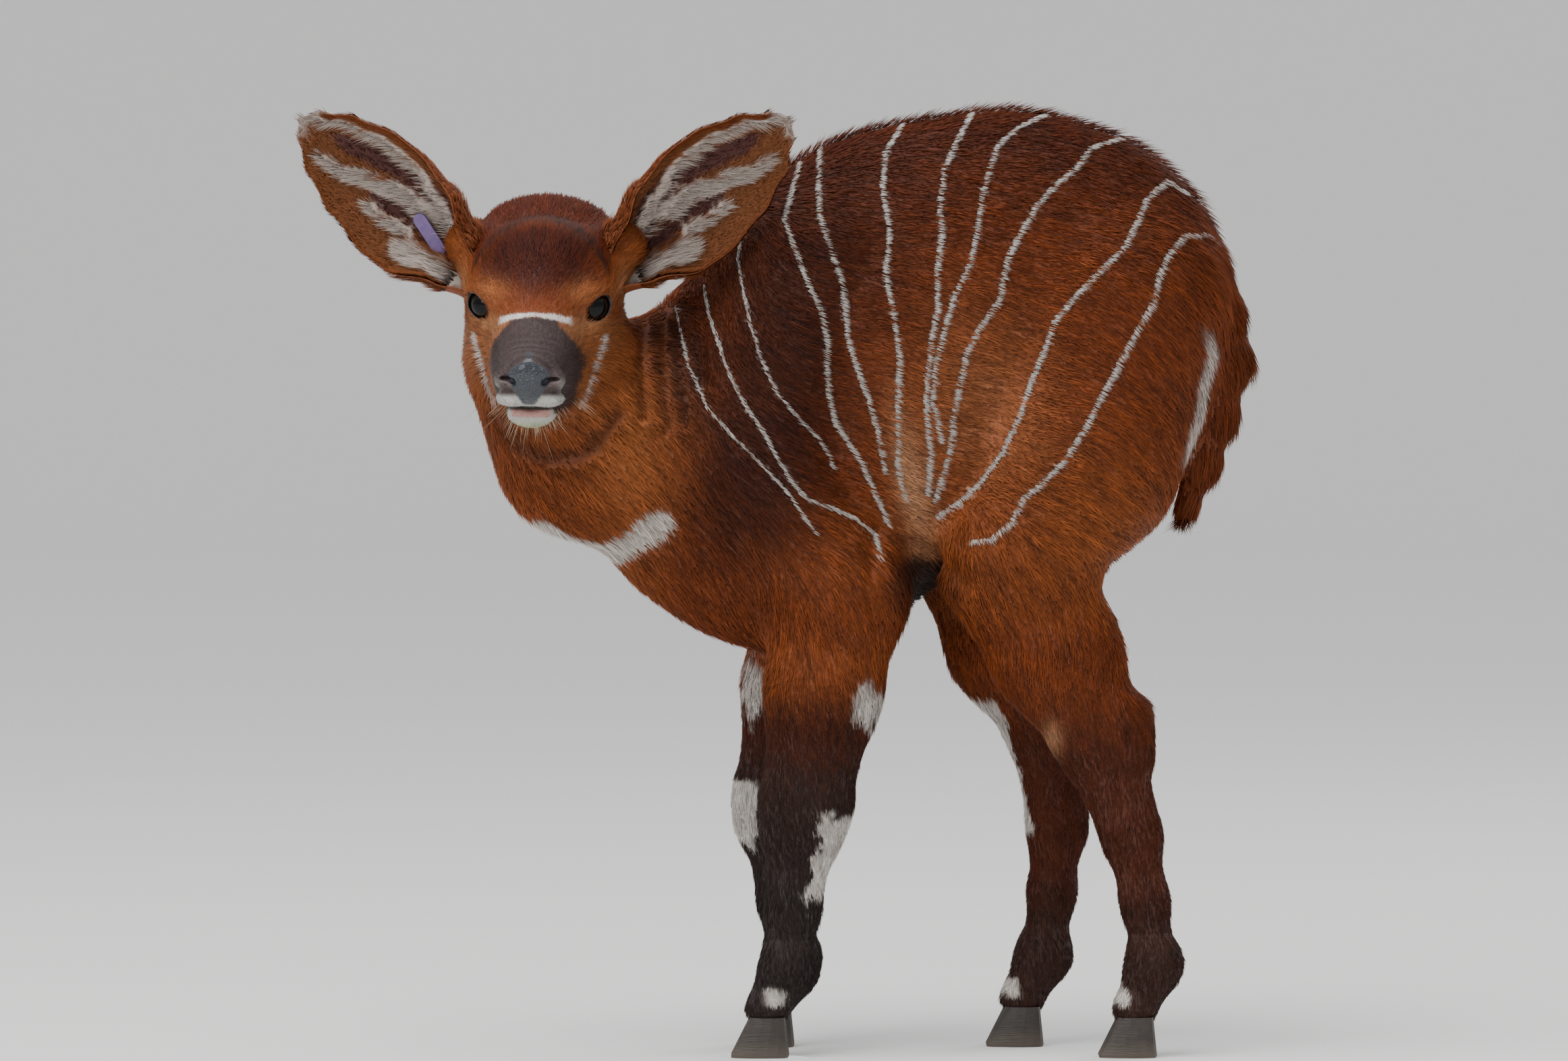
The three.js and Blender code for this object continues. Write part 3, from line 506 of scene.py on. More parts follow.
def steps(*stops):
    """Grid places from the first stop on, each step length up to the stop after it."""
    places = [stops[0]]
    for step, end in zip(stops[1::2], stops[2::2]):
        count = max(1, round((end - places[-1]) / step))
        places += list(np.linspace(places[-1], end, count + 1)[1:])
    return np.array(places, np.float32)


FINE = 1.7
COARSE = 4.4
GRID = [
    steps(-264, COARSE, -242, FINE, -112, COARSE, 356),
    steps(-226, FINE, -104, COARSE, 108),
    steps(20, COARSE, 455, FINE, 605, COARSE, 714),
]
LEG_HEIGHTS, LEG_DEPTHS = (150, 330), (1.4, 3.0)
FACE_REACH, FACE_DEPTHS = (-150, -70), (1.1, 3.0)


def near(values, low, high):
    """The part of the grid round a mass, and its places ready to spread over that part."""
    cut = tuple(slice(*np.searchsorted(axis, [low[n], high[n]])) for n, axis in enumerate(GRID))
    x, y, z = (axis[part] for axis, part in zip(GRID, cut))
    return cut, (x[:, None, None], y[None, :, None], z[None, None, :])


def coat_depth():
    """How far the skin lies inside the coat: thin on the legs and thinnest on the face."""
    down = np.interp(GRID[2], LEG_HEIGHTS, LEG_DEPTHS)
    head = np.interp(GRID[1], FACE_REACH, FACE_DEPTHS)
    return np.minimum(down[None, None, :], head[None, :, None]).astype(np.float32)


def press(values, mass):
    """Hollows a mass out of the flesh."""
    cut, places = near(values, mass.low, mass.high)
    values[cut] = -melt(-values[cut], mass.distance(*places), mass.blend)


EYE_HOLLOWS = {
    "socket": ((0, 0, 0), (EYE_RADIUS + 0.1,) * 3, 0.8),
    "slit": ((EYE_RADIUS + 1.4, 0, 0), (9, 12.0, 8.9), 1.6),
    "corner": ((12.5, -9.5, -1.5), (4, 5.5, 1.8), 1.2),
}
NOSTRIL_HOLLOWS = {
    "nostril": ((109, 12.5, -24), (7, 3.6, 3.0), 1.6),
    "wing slit": ((105, 17.5, -22.5), (8, 5.0, 1.7), 1.4),
}
MOUTH_AT = (80, 0, -45)
MOUTH_REACH = 48
MOUTH_SLIT = ((80, 0, -45.5), (32, 30, 1.3), 1)
MOUTH_FLOOR = ((58, 0, -45.5), (36, 17, 14), 1)
MOUTH_EDGE = 1.4
LIP_CLEFT = ((112, 0, -30), (106, 0, -44), 1.0, 1.4, 2.0)


def open_eyes_and_mouth(values):
    for side in BOTH_SIDES:
        for form in EYE_HOLLOWS.values():
            press(values, flesh(form, eye_axes(side), side))
        for form in NOSTRIL_HOLLOWS.values():
            press(values, flesh(form, HEAD, side))
    middle = to_world(MOUTH_AT, HEAD)
    cut, places = near(values, middle - MOUTH_REACH, middle + MOUTH_REACH)
    slit = flesh(MOUTH_SLIT, HEAD).distance(*places)
    floor = flesh(MOUTH_FLOOR, HEAD).distance(*places)
    values[cut] = -melt(-values[cut], np.maximum(slit, -floor), MOUTH_EDGE)
    press(values, flesh(LIP_CLEFT, HEAD))


def groove(values, low, high, middle_line, width, depth):
    """A soft furrow where the line's distance is nought."""
    cut, places = near(values, low, high)
    values[cut] += depth * np.exp(-((middle_line(*places) / width) ** 2))


def line_distance(points):
    """Distance from a bent line drawn over the side of the body, in X and Z."""
    points = [np.array(p, float) for p in points]

    def measure(x, y, z):
        best = None
        for a, b in zip(points, points[1:]):
            line = b - a
            square = float(line @ line)
            t = np.clip(((x - a[0]) * line[0] + (z - a[1]) * line[1]) / square, 0, 1)
            away = np.sqrt((x - a[0] - t * line[0]) ** 2 + (z - a[1] - t * line[1]) ** 2)
            best = away if best is None else np.minimum(best, away)
        return best
    return measure


NECK_FOLDS = [
    [(-104, 536), (-105, 500), (-102, 474)],
    [(-92, 545), (-90, 500), (-86, 466)],
    [(-79, 540), (-77, 500), (-72, 470)],
    [(-64, 530), (-62, 496)],
]
THROAT_CREASE = [(-214, 474), (-204, 460), (-190, 448), (-173, 442), (-152, 444), (-137, 451),
                 (-122, 474)]
NECK_GROOVE = (5.0, 3.0)
THROAT_GROOVE = (5.0, 4.5)
NECK_BOX = ((-130, -110, 390), (-20, 20, 560))
THROAT_BOX = ((-240, -170, 425), (-100, -80, 490))
BODY_BOX = ((-80, -120, 280), (260, 120, 640))
BODY_FOLDS = [
    ([(92, 378), (112, 372), (136, 352)], 7, 3.5),
    ([(70, 318), (62, 350), (66, 388)], 8, 3.0),
    ([(118, 362), (128, 400), (150, 440)], 10, 2.0),
    ([(-18, 350), (-34, 380), (-40, 420)], 9, 2.0),
    ([(58, 590), (40, 520), (38, 450), (54, 400)], 15, 2.2),
    ([(212, 610), (172, 540), (150, 470)], 22, 2.2),
]


def press_folds(values):
    for fold in NECK_FOLDS:
        groove(values, *NECK_BOX, line_distance(fold), *NECK_GROOVE)
    groove(values, *THROAT_BOX, line_distance(THROAT_CREASE), *THROAT_GROOVE)
    for fold, width, depth in BODY_FOLDS:
        groove(values, *BODY_BOX, line_distance(fold), width, depth)


WRINKLES = (80, 86.5, 92)
WRINKLE_BEND = 46
WRINKLE_WIDTH = 1.3
WRINKLE_DEPTH = 0.9
WRINKLE_REACH = 17
BRIDGE_AT = (40, 0, -20)
BRIDGE_REACH = 62


def press_face(values):
    """The wrinkles that arch over the nose."""
    middle = to_world(BRIDGE_AT, HEAD)
    cut, (x, y, z) = near(values, middle - BRIDGE_REACH, middle + BRIDGE_REACH)
    away = [x - HEAD_AT[0], y - HEAD_AT[1], z - HEAD_AT[2]]
    nose, left, up = (sum(away[m] * HEAD_AXES[m, n] for m in range(3)) for n in range(3))
    over = 1 / (1 + np.exp(-(up + 20 + 0.2 * np.abs(left)) / 3))
    reach = np.exp(-(left / WRINKLE_REACH) ** 4)
    for start in WRINKLES:
        arc = nose - start + left ** 2 / WRINKLE_BEND
        values[cut] += WRINKLE_DEPTH * np.exp(-(arc / WRINKLE_WIDTH) ** 2) * reach * over


def grow_flesh():
    values = np.full([len(axis) for axis in GRID], FAR, np.float32)
    for masses in MASSES.values():
        for mass in masses:
            cut, places = near(values, mass.low, mass.high)
            values[cut] = melt(values[cut], mass.distance(*places), mass.blend)
    values += coat_depth()
    press_folds(values)
    press_face(values)
    open_eyes_and_mouth(values)
    return np.maximum(values, (HOOF_TOP - GRID[2])[None, None, :])


def one_piece(places, quads):
    """Leaves out the tiny hollows that a thin slit can leave inside the flesh."""
    piece = np.arange(len(places))
    while True:
        lowest = piece[quads].min(axis=1)
        reached = piece.copy()
        for n in range(4):
            np.minimum.at(reached, quads[:, n], lowest)
        reached = reached[reached]
        if (reached == piece).all():
            break
        piece = reached
    main = piece == np.bincount(piece).argmax()
    renumbered = np.cumsum(main) - 1
    return places[main], renumbered[quads[main[quads[:, 0]]]]


def skin_shape():
    """Corner places in millimetres and outward faces of the hide."""
    flesh = openvdb.FloatGrid(FAR)
    flesh.copyFromArray(grow_flesh())
    corners, triangles, quads = flesh.convertToPolygons(isovalue=0.0, adaptivity=0.0)
    spread = [np.interp(corners[:, n], np.arange(len(axis)), axis) for n, axis in enumerate(GRID)]
    places = np.stack(spread, axis=1)
    places, quads = one_piece(places, quads)
    a, b, c, d = (places[quads[:, n]] for n in range(4))
    volume = (np.cross(c - a, d - b) * (a + b + c + d)).sum()
    return places, quads[:, ::-1] if volume < 0 else quads


def corner_normals(places, quads):
    a, b, c, d = (places[quads[:, n]] for n in range(4))
    face = np.cross(c - a, d - b)
    normals = np.zeros_like(places)
    for n in range(4):
        for axis in range(3):
            normals[:, axis] += np.bincount(quads[:, n], face[:, axis], len(places))
    return unit(normals)


skin_places, skin_quads = skin_shape()
skin_normals = corner_normals(skin_places, skin_quads)

# Colours of the hide and of every hair that grows on it. They are worked out for any
# place on the body, so that skin and coat carry the same markings on every side.
CHESTNUT = (0.185, 0.040, 0.009)
DARK_CHESTNUT = (0.062, 0.014, 0.005)
SADDLE_BROWN = (0.062, 0.012, 0.0035)
FOX_ORANGE = (0.285, 0.076, 0.018)
FAWN = (0.42, 0.20, 0.09)
WHITE_HAIR = (0.66, 0.61, 0.56)
FOREHEAD_RED = (0.062, 0.011, 0.004)
POLL_RED = (0.090, 0.016, 0.005)
CHEEK_TAN = (0.36, 0.125, 0.042)
MUZZLE_BROWN = (0.056, 0.038, 0.036)
LEG_BLACK = (0.034, 0.016, 0.012)
BELLY_BUFF = (0.26, 0.13, 0.07)
NECK_ORANGE = (0.40, 0.125, 0.036)
FLANK_TAN = (0.36, 0.125, 0.050)
BELLY_TAN = (0.52, 0.26, 0.13)
SKIN_BLACK = (0.018, 0.015, 0.014)
# Black skin of the nose pad, tinted blue as a painted reflection of the sky.
PAD_BLACK = (0.024, 0.031, 0.042)
LIP_PINK = (0.45, 0.235, 0.20)
LIP_WHITE = (0.46, 0.46, 0.42)
MOUTH_RED = (0.060, 0.014, 0.012)
# A painted green reflection of light from grass, under the chin.
CHIN_GRASS_REFLECTION = (0.34, 0.40, 0.19)
STRIPES = [
    ([(-79, 552), (-70, 510), (-55, 478), (-41, 463), (-29, 451), (-11, 432), (1, 420),
      (10, 407), (23, 388)], 0.6),
    ([(-58, 567), (-55, 549), (-48, 528), (-39, 502), (-26, 478), (-14, 460), (-5, 443),
      (4, 428), (16, 413), (33, 406), (51, 398), (66, 386), (72, 368)], 0.9),
    ([(-24, 633), (-30, 604), (-33, 588), (-29, 564), (-24, 540), (-17, 517), (-5, 490),
      (10, 472), (25, 457), (33, 443), (36, 435)], 0.7),
    ([(12, 657), (4, 628), (1, 617), (8, 597), (17, 573), (28, 549), (32, 528), (31, 511),
      (33, 487), (39, 466), (48, 454), (57, 440), (66, 419), (78, 392)], 1.0),
    ([(27, 674), (26, 644), (26, 620), (33, 600), (42, 573), (45, 552), (47, 531), (53, 511),
      (62, 487), (69, 463), (75, 431)], 0.9),
    ([(99, 706), (84, 680), (75, 665), (73, 641), (78, 608), (75, 576), (81, 546), (85, 517),
      (84, 487), (84, 460), (84, 434), (90, 410)], 0.9),
    ([(151, 717), (137, 691), (128, 674), (118, 653), (115, 629), (116, 608), (113, 579),
      (113, 552), (108, 528), (105, 499), (105, 472), (108, 446), (106, 416)], 1.0),
    ([(220, 705), (193, 693), (173, 684), (158, 671), (152, 656), (146, 635), (142, 608),
      (137, 585), (125, 561), (118, 537), (111, 511), (109, 484), (116, 454)], 0.9),
    ([(276, 683), (247, 675), (226, 669), (217, 656), (199, 641), (185, 626), (173, 605),
      (164, 588), (158, 558), (143, 537), (134, 520), (128, 493), (124, 469), (122, 446),
      (111, 410)], 1.0),
    ([(297, 635), (282, 644), (267, 632), (259, 614), (250, 597), (232, 579), (214, 561),
      (199, 543), (192, 523), (182, 499), (173, 472), (161, 446), (146, 425), (131, 410),
      (113, 398)], 1.0),
    ([(324, 597), (312, 605), (294, 604), (282, 591), (275, 576), (270, 555), (256, 531),
      (244, 508), (229, 481), (220, 463), (205, 440), (190, 425), (176, 413), (167, 395),
      (152, 382), (137, 380)], 1.1),
]
CHEST_BAND = [(-178, 386), (-151, 373), (-131, 369), (-107, 379), (-90, 393)]
CHEEK_STREAKS = [
    ([(49, -20), (46, -32), (42, -46)], 1.2),
    ([(41, -50), (38, -61), (32, -73)], 1.7),
]
TRUNK_GLOWS = {
    "elbow": (FOX_ORANGE, 0.55, (60, 350), (70, 60)),
    "thigh": (FOX_ORANGE, 0.95, (225, 372), (64, 76)),
    "ribs": (FOX_ORANGE, 0.3, (130, 470), (60, 70)),
}
SHOULDER_DARKS_AND_NECK_SHADE = {
    "blade": (0.95, (0, 545), (62, 120)),
    "back": (0.5, (75, 610), (60, 60)),
    "point": (0.8, (-22, 425), (58, 78)),
    # neck: painted shade on the neck behind the cheek
    "neck": (0.7, (-78, 512), (22, 50)),
}
MUZZLE_HEIGHTS = (-90, -71, -52, -41, -29, -19, -10)
MUZZLE_WIDTHS = (27, 28, 32, 35.5, 33, 26, 18)
PAD_HEIGHTS = (-68, -63, -56, -49, -44, -40, -37)
PAD_WIDTHS = (4.5, 8, 12, 15.5, 14, 9, 2)
SHANK_HEIGHTS = (150, 200, 242, 270)
SHANK_FRONTS = (186, 174, 163, 150)
PASTERN_HEIGHT = 44
PASTERN_SPOT = (9, 9)
PART_SOFTNESS = 7.0
NOSTRIL_SKIN = (0.12, 0.08, 0.08)
COLOUR_RANGE = (0.004, 0.9)


def smooth(value, low, high):
    t = np.clip((value - low) / (high - low), 0, 1)
    return t * t * (3 - 2 * t)


def round_spot(x, z, centre, reach):
    return np.exp(-(((x - centre[0]) / reach[0]) ** 2 + ((z - centre[1]) / reach[1]) ** 2))


def tint(colours, colour, amount):
    return colours + (np.asarray(colour, float) - colours) * np.clip(amount, 0, 1)[:, None]


def washes(colours, *layers):
    """Lays each colour over those before it by its own amount."""
    for colour, amount in layers:
        colours = tint(colours, colour, amount)
    return colours


def toward(value, goal, share):
    return value + (goal - value) * share


def cloud(places, size, seed):
    """Soft random mottling from -1 to 1 whose patches are about the given size."""
    spot = places / size + 1000.0
    cell = np.floor(spot).astype(np.int64)
    t = spot - cell
    t = t * t * (3 - 2 * t)
    total = np.zeros(len(places))
    for corner in range(8):
        step = np.array([corner & 1, corner >> 1 & 1, corner >> 2 & 1])
        key = ((cell + step) * np.array([73856093, 19349663, 83492791])).sum(axis=1) + seed * 7919
        key = (key ^ (key >> 13)) * 1274126177 & 0x7FFFFFFF
        weight = np.where(step, t, 1 - t).prod(axis=1)
        total += weight * ((key >> 7 & 0xFFFF) / 32767.5 - 1)
    return total


def part_shares(places):
    """How much each part of the body claims a place, by how near its own masses lie."""
    x, y, z = places.T
    away = {}
    for name, masses in MASSES.items():
        nearest = np.full(len(places), FAR)
        for mass in masses:
            close = np.nonzero(((places > mass.low) & (places < mass.high)).all(axis=1))[0]
            own = mass.distance(x[close], y[close], z[close])
            nearest[close] = melt(nearest[close], own, mass.blend)
        away[name] = nearest
    lowest = np.min(list(away.values()), axis=0)
    shares = {name: np.exp(-(value - lowest) / PART_SOFTNESS) for name, value in away.items()}
    total = sum(shares.values())
    return {name: share / total for name, share in shares.items()}


def tail_fringe(x, y, z, ragged):
    """The white line behind the thigh, along the front of the tail."""
    line = np.interp(z, [at[2] for at, r in TAIL_LINE[::-1]], [at[0] for at, r in TAIL_LINE[::-1]])
    across = smooth(np.abs(x - line + 13 + 2 * ragged), 6.0, 2.0)
    return across * smooth(z, 540, 520) * smooth(z, 430, 450) * smooth(-y, 4, 12)


def trunk_colours(places, ragged):
    x, y, z = places.T
    colours = np.tile(CHESTNUT, (len(places), 1))
    for colour, amount, centre, reach in TRUNK_GLOWS.values():
        colours = tint(colours, colour, amount * round_spot(x, z, centre, reach))
    # The shoulder's own darker coat, with painted shade on the neck behind the cheek.
    dark = sum(amount * round_spot(x, z, *spot) for amount, *spot in SHOULDER_DARKS_AND_NECK_SHADE.values())
    under = smooth(z, 400, 350) * smooth(np.abs(y), 62, 30) * smooth(x, 30, 90)
    # Painted shade in the fold under the belly, between the legs, laid on in near-black.
    black = smooth(round_spot(x, z, (103, 342), (32, 26)) + 0.1 * ragged, 0.3, 0.6)
    # Painted shadow under the chin, along the throat crease.
    throat = line_distance(THROAT_CREASE)(x, y, z) + 2 * ragged
    colours = washes(
        colours,
        (DARK_CHESTNUT, dark + 0.12 * ragged),
        (SADDLE_BROWN, 0.85 * smooth(z, 560, 690)),
        (FOX_ORANGE, 0.35 * smooth(-x, 60, 120) * smooth(z, 620, 520)),
        (BELLY_BUFF, 0.8 * under),
        (FLANK_TAN, 0.75 * round_spot(x, z, (146, 478), (46, 62))),
        (BELLY_TAN, 0.95 * round_spot(x + 0.2 * (z - 415), z, (97, 415), (12, 50))),
        # painted shade in the fold under the belly
        (SKIN_BLACK, 0.95 * black),
        (NECK_ORANGE, 0.85 * round_spot(x, z, (-112, 448), (32, 62)) * smooth(-y, -30, 20)),
        # painted shadow under the chin
        (LEG_BLACK, 0.6 * smooth(throat, 11, 0) * smooth(-y, 60, 90)),
    )
    # Painted shade in the folds of the neck.
    for fold in NECK_FOLDS:
        crease_shade = line_distance(fold)(x, y, z) + ragged
        colours = tint(colours, LEG_BLACK, 0.45 * smooth(crease_shade, 7.0, 0.5) * smooth(-y, -20, 20))
    crescent = line_distance(CHEST_BAND)(x, y, z)
    return washes(
        colours,
        (WHITE_HAIR, 0.9 * smooth(crescent + 3 * ragged, 11, 7)),
        (WHITE_HAIR, 0.7 * tail_fringe(x, y, z, ragged)),
    )


def stripe_amount(places, ragged):
    x, y, z = places.T
    amount = np.zeros(len(places))
    for line, half in STRIPES:
        edge = line_distance(line)(x, y, z) + 0.8 * ragged
        amount = np.maximum(amount, smooth(edge, half + 0.8, half - 0.6))
    return amount * smooth(np.abs(y), 1, 6)


def foreleg_colours(places, side, ragged):
    """Black shanks, with torn white patches behind one knee and before the other."""
    x, y, z = places.T
    knee = FORELEGS[side]["knee"][0]
    height = z + 14 * ragged
    colours = washes(
        np.tile(CHESTNUT, (len(places), 1)),
        (FOX_ORANGE, 0.4 * smooth(height, 330, 280)),
        (DARK_CHESTNUT, smooth(height, 285, 240)),
        (LEG_BLACK, smooth(height, 240, 190)),
        (SKIN_BLACK, 0.6 * smooth(height, 190, 110)),
    )
    torn = 9 * cloud(places, 7.0, 17) + 4 * ragged
    if side == LEFT:
        upper = round_spot(x, z + 0.5 * torn, (knee + 48, 258), (14, 19))
        lower = smooth(x - knee + 0.6 * torn - 0.12 * (z - 150), 2, 12)
        lower = lower * smooth(z + torn, 112, 124) * smooth(z + torn, 186, 172)
    else:
        upper = round_spot(x, z + 0.5 * torn, (knee - 18, 266), (11, 26))
        lower = smooth(x - knee + 0.4 * torn, -10, -17)
        lower = lower * smooth(z + torn, 142, 156) * smooth(z + torn, 204, 192)
    spot = round_spot(x, z, (knee - 22, PASTERN_HEIGHT), PASTERN_SPOT)
    return colours, np.max([upper, lower, spot], axis=0)


def hindleg_colours(places, side, ragged):
    """Dark brown shanks; the far one has a white front edge over the hock."""
    x, y, z = places.T
    height = z + 14 * ragged
    colours = washes(
        np.tile(CHESTNUT, (len(places), 1)),
        (FOX_ORANGE, 0.5 * smooth(height, 300, 340)),
        (DARK_CHESTNUT, 0.9 * smooth(height, 285, 215)),
        (LEG_BLACK, 0.85 * smooth(height, 150, 70)),
        (BELLY_TAN, 0.6 * round_spot(x, z, (197, 234), (7, 13)) * (side == LEFT)),
    )
    front = np.interp(z, SHANK_HEIGHTS, SHANK_FRONTS)
    edge = smooth(x + 3 * ragged - front, 5, 1) * smooth(z, 150, 165) * smooth(z, 266, 250)
    spot = round_spot(x, z, (HINDLEGS[side]["pastern"][0] - 10, PASTERN_HEIGHT), PASTERN_SPOT)
    return colours, np.maximum(edge * (side == RIGHT), spot)


def leg_colours(places, name, ragged):
    side = LEFT if name.endswith("left") else RIGHT
    paint = foreleg_colours if name.startswith("foreleg") else hindleg_colours
    colours, white = paint(places, side, ragged)
    return tint(colours, WHITE_HAIR, 0.9 * smooth(white + 0.25 * ragged, 0.35, 0.75))


def face_places(places):
    """Along the nose, out from the middle, up the skull, and height as seen from in front."""
    nose, left, up = to_axes(places, HEAD).T
    return nose, np.abs(left), up, up * math.cos(NOD_DOWN) - nose * math.sin(NOD_DOWN)


def face_colours(places, ragged):
    nose, aside, up, height = face_places(places)
    ahead = smooth(nose, -30, 0)
    outer = smooth(aside, 44, 54) * smooth(height, 0, 14)
    forehead = ahead * smooth(aside, 55, 26) * smooth(height, -2, 26)
    ridge = height - 63 * np.sqrt(np.clip(1 - (aside / 54) ** 2, 0, 1)) + 2 * ragged
    crown = smooth(aside, 55, 47) * smooth(height, 16, 34)
    tuft = round_spot(aside, height, (62, 16), (11, 15)) * smooth(nose, -90, -70)
    jowl = smooth(aside, 30, 38) * smooth(height, 0, -20) * smooth(nose, -45, -10)
    bow = 3.5 * (aside / 22) ** 2
    width = np.interp(height, MUZZLE_HEIGHTS, MUZZLE_WIDTHS)
    muzzle = smooth(width - aside + 2 * ragged, -1.5, 2) * smooth(nose, 12, 26)
    muzzle *= smooth(-6.0 - bow - height, -1, 1.0) * smooth(height, -92, -80)
    half = 1.3 + 0.8 * (aside / 22) ** 2
    band = smooth(np.abs(height + 4.2 + bow) - half + 0.7 * ragged, 0.8, -0.5)
    colours = washes(
        np.tile(CHESTNUT, (len(places), 1)),
        (FAWN, 0.5 * smooth(height, 5, -30)),
        (FOX_ORANGE, 0.9 * outer),
        (FOREHEAD_RED, forehead),
        (CHEEK_TAN, 0.8 * ahead * round_spot(aside, height, (36, 12), (15, 9))),
        (FAWN, 0.9 * ahead * round_spot(aside, height, (38, -13), (14, 9))),
        (POLL_RED, 0.9 * smooth(ridge, -2, 4) * crown),
        # painted shadow just behind the ridge of the forehead hair
        (SKIN_BLACK, 0.6 * smooth(ridge, -3, 1) * smooth(ridge, 7, 3) * crown),
        (BELLY_TAN, 0.55 * tuft * smooth(aside, 50, 58)),
        (CHEEK_TAN, 0.75 * jowl),
        (MUZZLE_BROWN, muzzle),
        (WHITE_HAIR, band * smooth(aside, 28.5, 24) * smooth(nose, 8, 16)),
    )
    for line, half in CHEEK_STREAKS:
        edge = line_distance(line)(aside, 0, height) + 0.6 * ragged
        streak = smooth(edge, half + 1.1, half - 0.3) * smooth(nose, -14, -4)
        colours = tint(colours, WHITE_HAIR, streak)
    return mouth_colours(colours, nose, aside, height)


def mouth_colours(colours, nose, aside, height):
    lobes = smooth(nose, 84, 92) * smooth(height, -60, -64) * smooth(aside, 30, 26)
    wings = round_spot(aside, height, (24.5, -56), (3.6, 6)) * smooth(nose, 80, 90)
    jaw = smooth(nose, 62, 74) * smooth(height, -74, -77) * smooth(aside, 25, 21)
    # Painted green reflection of light from grass, under the chin.
    grass_reflection = round_spot(aside, height, (2, -86), (16, 4)) * smooth(nose, 60, 72)
    pink = smooth(nose, 84, 90) * smooth(aside, 17, 12)
    pink *= smooth(height, -71, -72.5) * smooth(height, -79, -77)
    parting = smooth(np.abs(height + 71.5), 1.5, 0.6) * smooth(nose, 80, 86) * smooth(aside, 24, 20)
    inside = round_spot(aside, height, (0, -73.6), (8, 1.5)) * smooth(nose, 80, 86)
    return washes(
        colours,
        (LIP_WHITE, 0.95 * lobes),
        (LIP_WHITE, 0.55 * wings),
        (LIP_WHITE, jaw),
        (CHIN_GRASS_REFLECTION, 0.8 * grass_reflection),
        (LIP_PINK, pink),
        (SKIN_BLACK, 0.8 * parting),
        (MOUTH_RED, 0.9 * inside),
    )


def nose_pad(nose, aside, height):
    wide = np.interp(height, PAD_HEIGHTS, PAD_WIDTHS)
    return smooth(wide - aside, -1.0, 0.8) * smooth(nose, 92, 97) * smooth(height, -69.5, -68)


def bare_skin(places):
    """Where the hide shows without hair: nose pad, nostrils, lips and the rims of the lids."""
    nose, aside, up, height = face_places(places)
    pad = nose_pad(nose, aside, height)
    inner = round_spot(aside, height, (14, -52), (9, 4)) * smooth(nose, 88, 94)
    mouth = round_spot(0, height, (0, -73.5), (1, 4))
    mouth *= smooth(nose, 80, 86) * smooth(aside, 25, 22)
    rims = np.zeros(len(places))
    for side in BOTH_SIDES:
        out, along, rise = to_axes(places, eye_axes(side)).T
        ring = np.sqrt((along / 12.2) ** 2 + (rise / 9.4) ** 2)
        rims = np.maximum(rims, smooth(ring, 1.12, 1.0) * smooth(out, 6, 10))
    bare = np.clip(pad + inner + mouth + rims, 0, 1)
    return {"pad": pad, "bare": bare, "rims": rims, "inner": inner}


def hide_colours(places, striped=True):
    """The colour of skin and hair at each place."""
    shares = part_shares(places)
    ragged = cloud(places, 3.0, 3)
    colours = np.zeros((len(places), 3))
    trunk = trunk_colours(places, cloud(places, 26.0, 5))
    for name in ("trunk", "neck", "tail"):
        own = toward(trunk, np.array(DARK_CHESTNUT), 0.35) if name == "tail" else trunk
        colours += shares[name][:, None] * own
    for name in LIMBS:
        colours += shares[name][:, None] * leg_colours(places, name, ragged)
    colours += shares["head"][:, None] * face_colours(places, ragged)
    if striped:
        shown = 0.75 * (1 - shares["head"]) * smooth(places[:, 2], 350, 372)
        colours = tint(colours, WHITE_HAIR, stripe_amount(places, ragged) * shown)
    shade = 1 + 0.10 * cloud(places, 14.0, 11) + 0.07 * cloud(places, 5.0, 12)
    return np.clip(colours * shade[:, None], *COLOUR_RANGE)


def paint_bare(colours, places):
    bare = bare_skin(places)
    nostril = bare["inner"] * (1 - bare["pad"])
    # The pad's black is tinted blue as a painted reflection of the sky.
    layers = [(SKIN_BLACK, bare["rims"]), (NOSTRIL_SKIN, nostril), (PAD_BLACK, bare["pad"])]
    return washes(colours, *layers), bare


LAYER_FIELDS = {"FLOAT": "value", "FLOAT_VECTOR": "vector", "FLOAT_COLOR": "color"}


def give(piece, name, kind, values):
    """Stores a number, vector or colour on every corner of a piece."""
    layer = piece.data.attributes.new(name, kind, "POINT")
    layer.data.foreach_set(LAYER_FIELDS[kind], np.asarray(values, np.float32).ravel())


def give_colour(piece, colours):
    give(piece, "coat_colour", "FLOAT_COLOR", np.c_[colours, np.ones(len(colours))])


HIDE_FLECKS = ((0.45, 0.4, 0.38, 1), (1.35, 1.35, 1.35, 1))
HIDE_FLECK_SCALE = 900.0
PEBBLE_SCALE = 480.0
PEBBLE_DEPTH = 0.0022
HAIR_DEPTH = 0.0006


def hide_finish():
    """Short hair seen between the tufts, and bare wet skin with the nose pad's pebbles."""
    finish = Finish("hide", Specular_IOR_Level=0.35)
    colour = finish.attribute("coat_colour", "Color")
    bare = finish.attribute("bare")
    pad = finish.attribute("pad")
    fleck = finish.noise(HIDE_FLECK_SCALE, 3.0)
    grey = finish.mix(fleck, *HIDE_FLECKS)
    finish.feed(Base_Color=finish.mix(0.55, colour, grey, "MULTIPLY"))
    finish.feed(Roughness=0.75 - 0.40 * bare, Coat_Weight=0.5 * pad + 0.15 * bare)
    pebbles = finish.node("ShaderNodeTexVoronoi", {"feature": "DISTANCE_TO_EDGE"},
                          {"Scale": PEBBLE_SCALE, "Vector": finish.place()})
    hair = finish.bump(fleck * (1 - bare), HAIR_DEPTH)
    finish.feed(Normal=finish.bump(pebbles * pad + 0.1 * fleck * bare, PEBBLE_DEPTH, hair))
    return finish.material


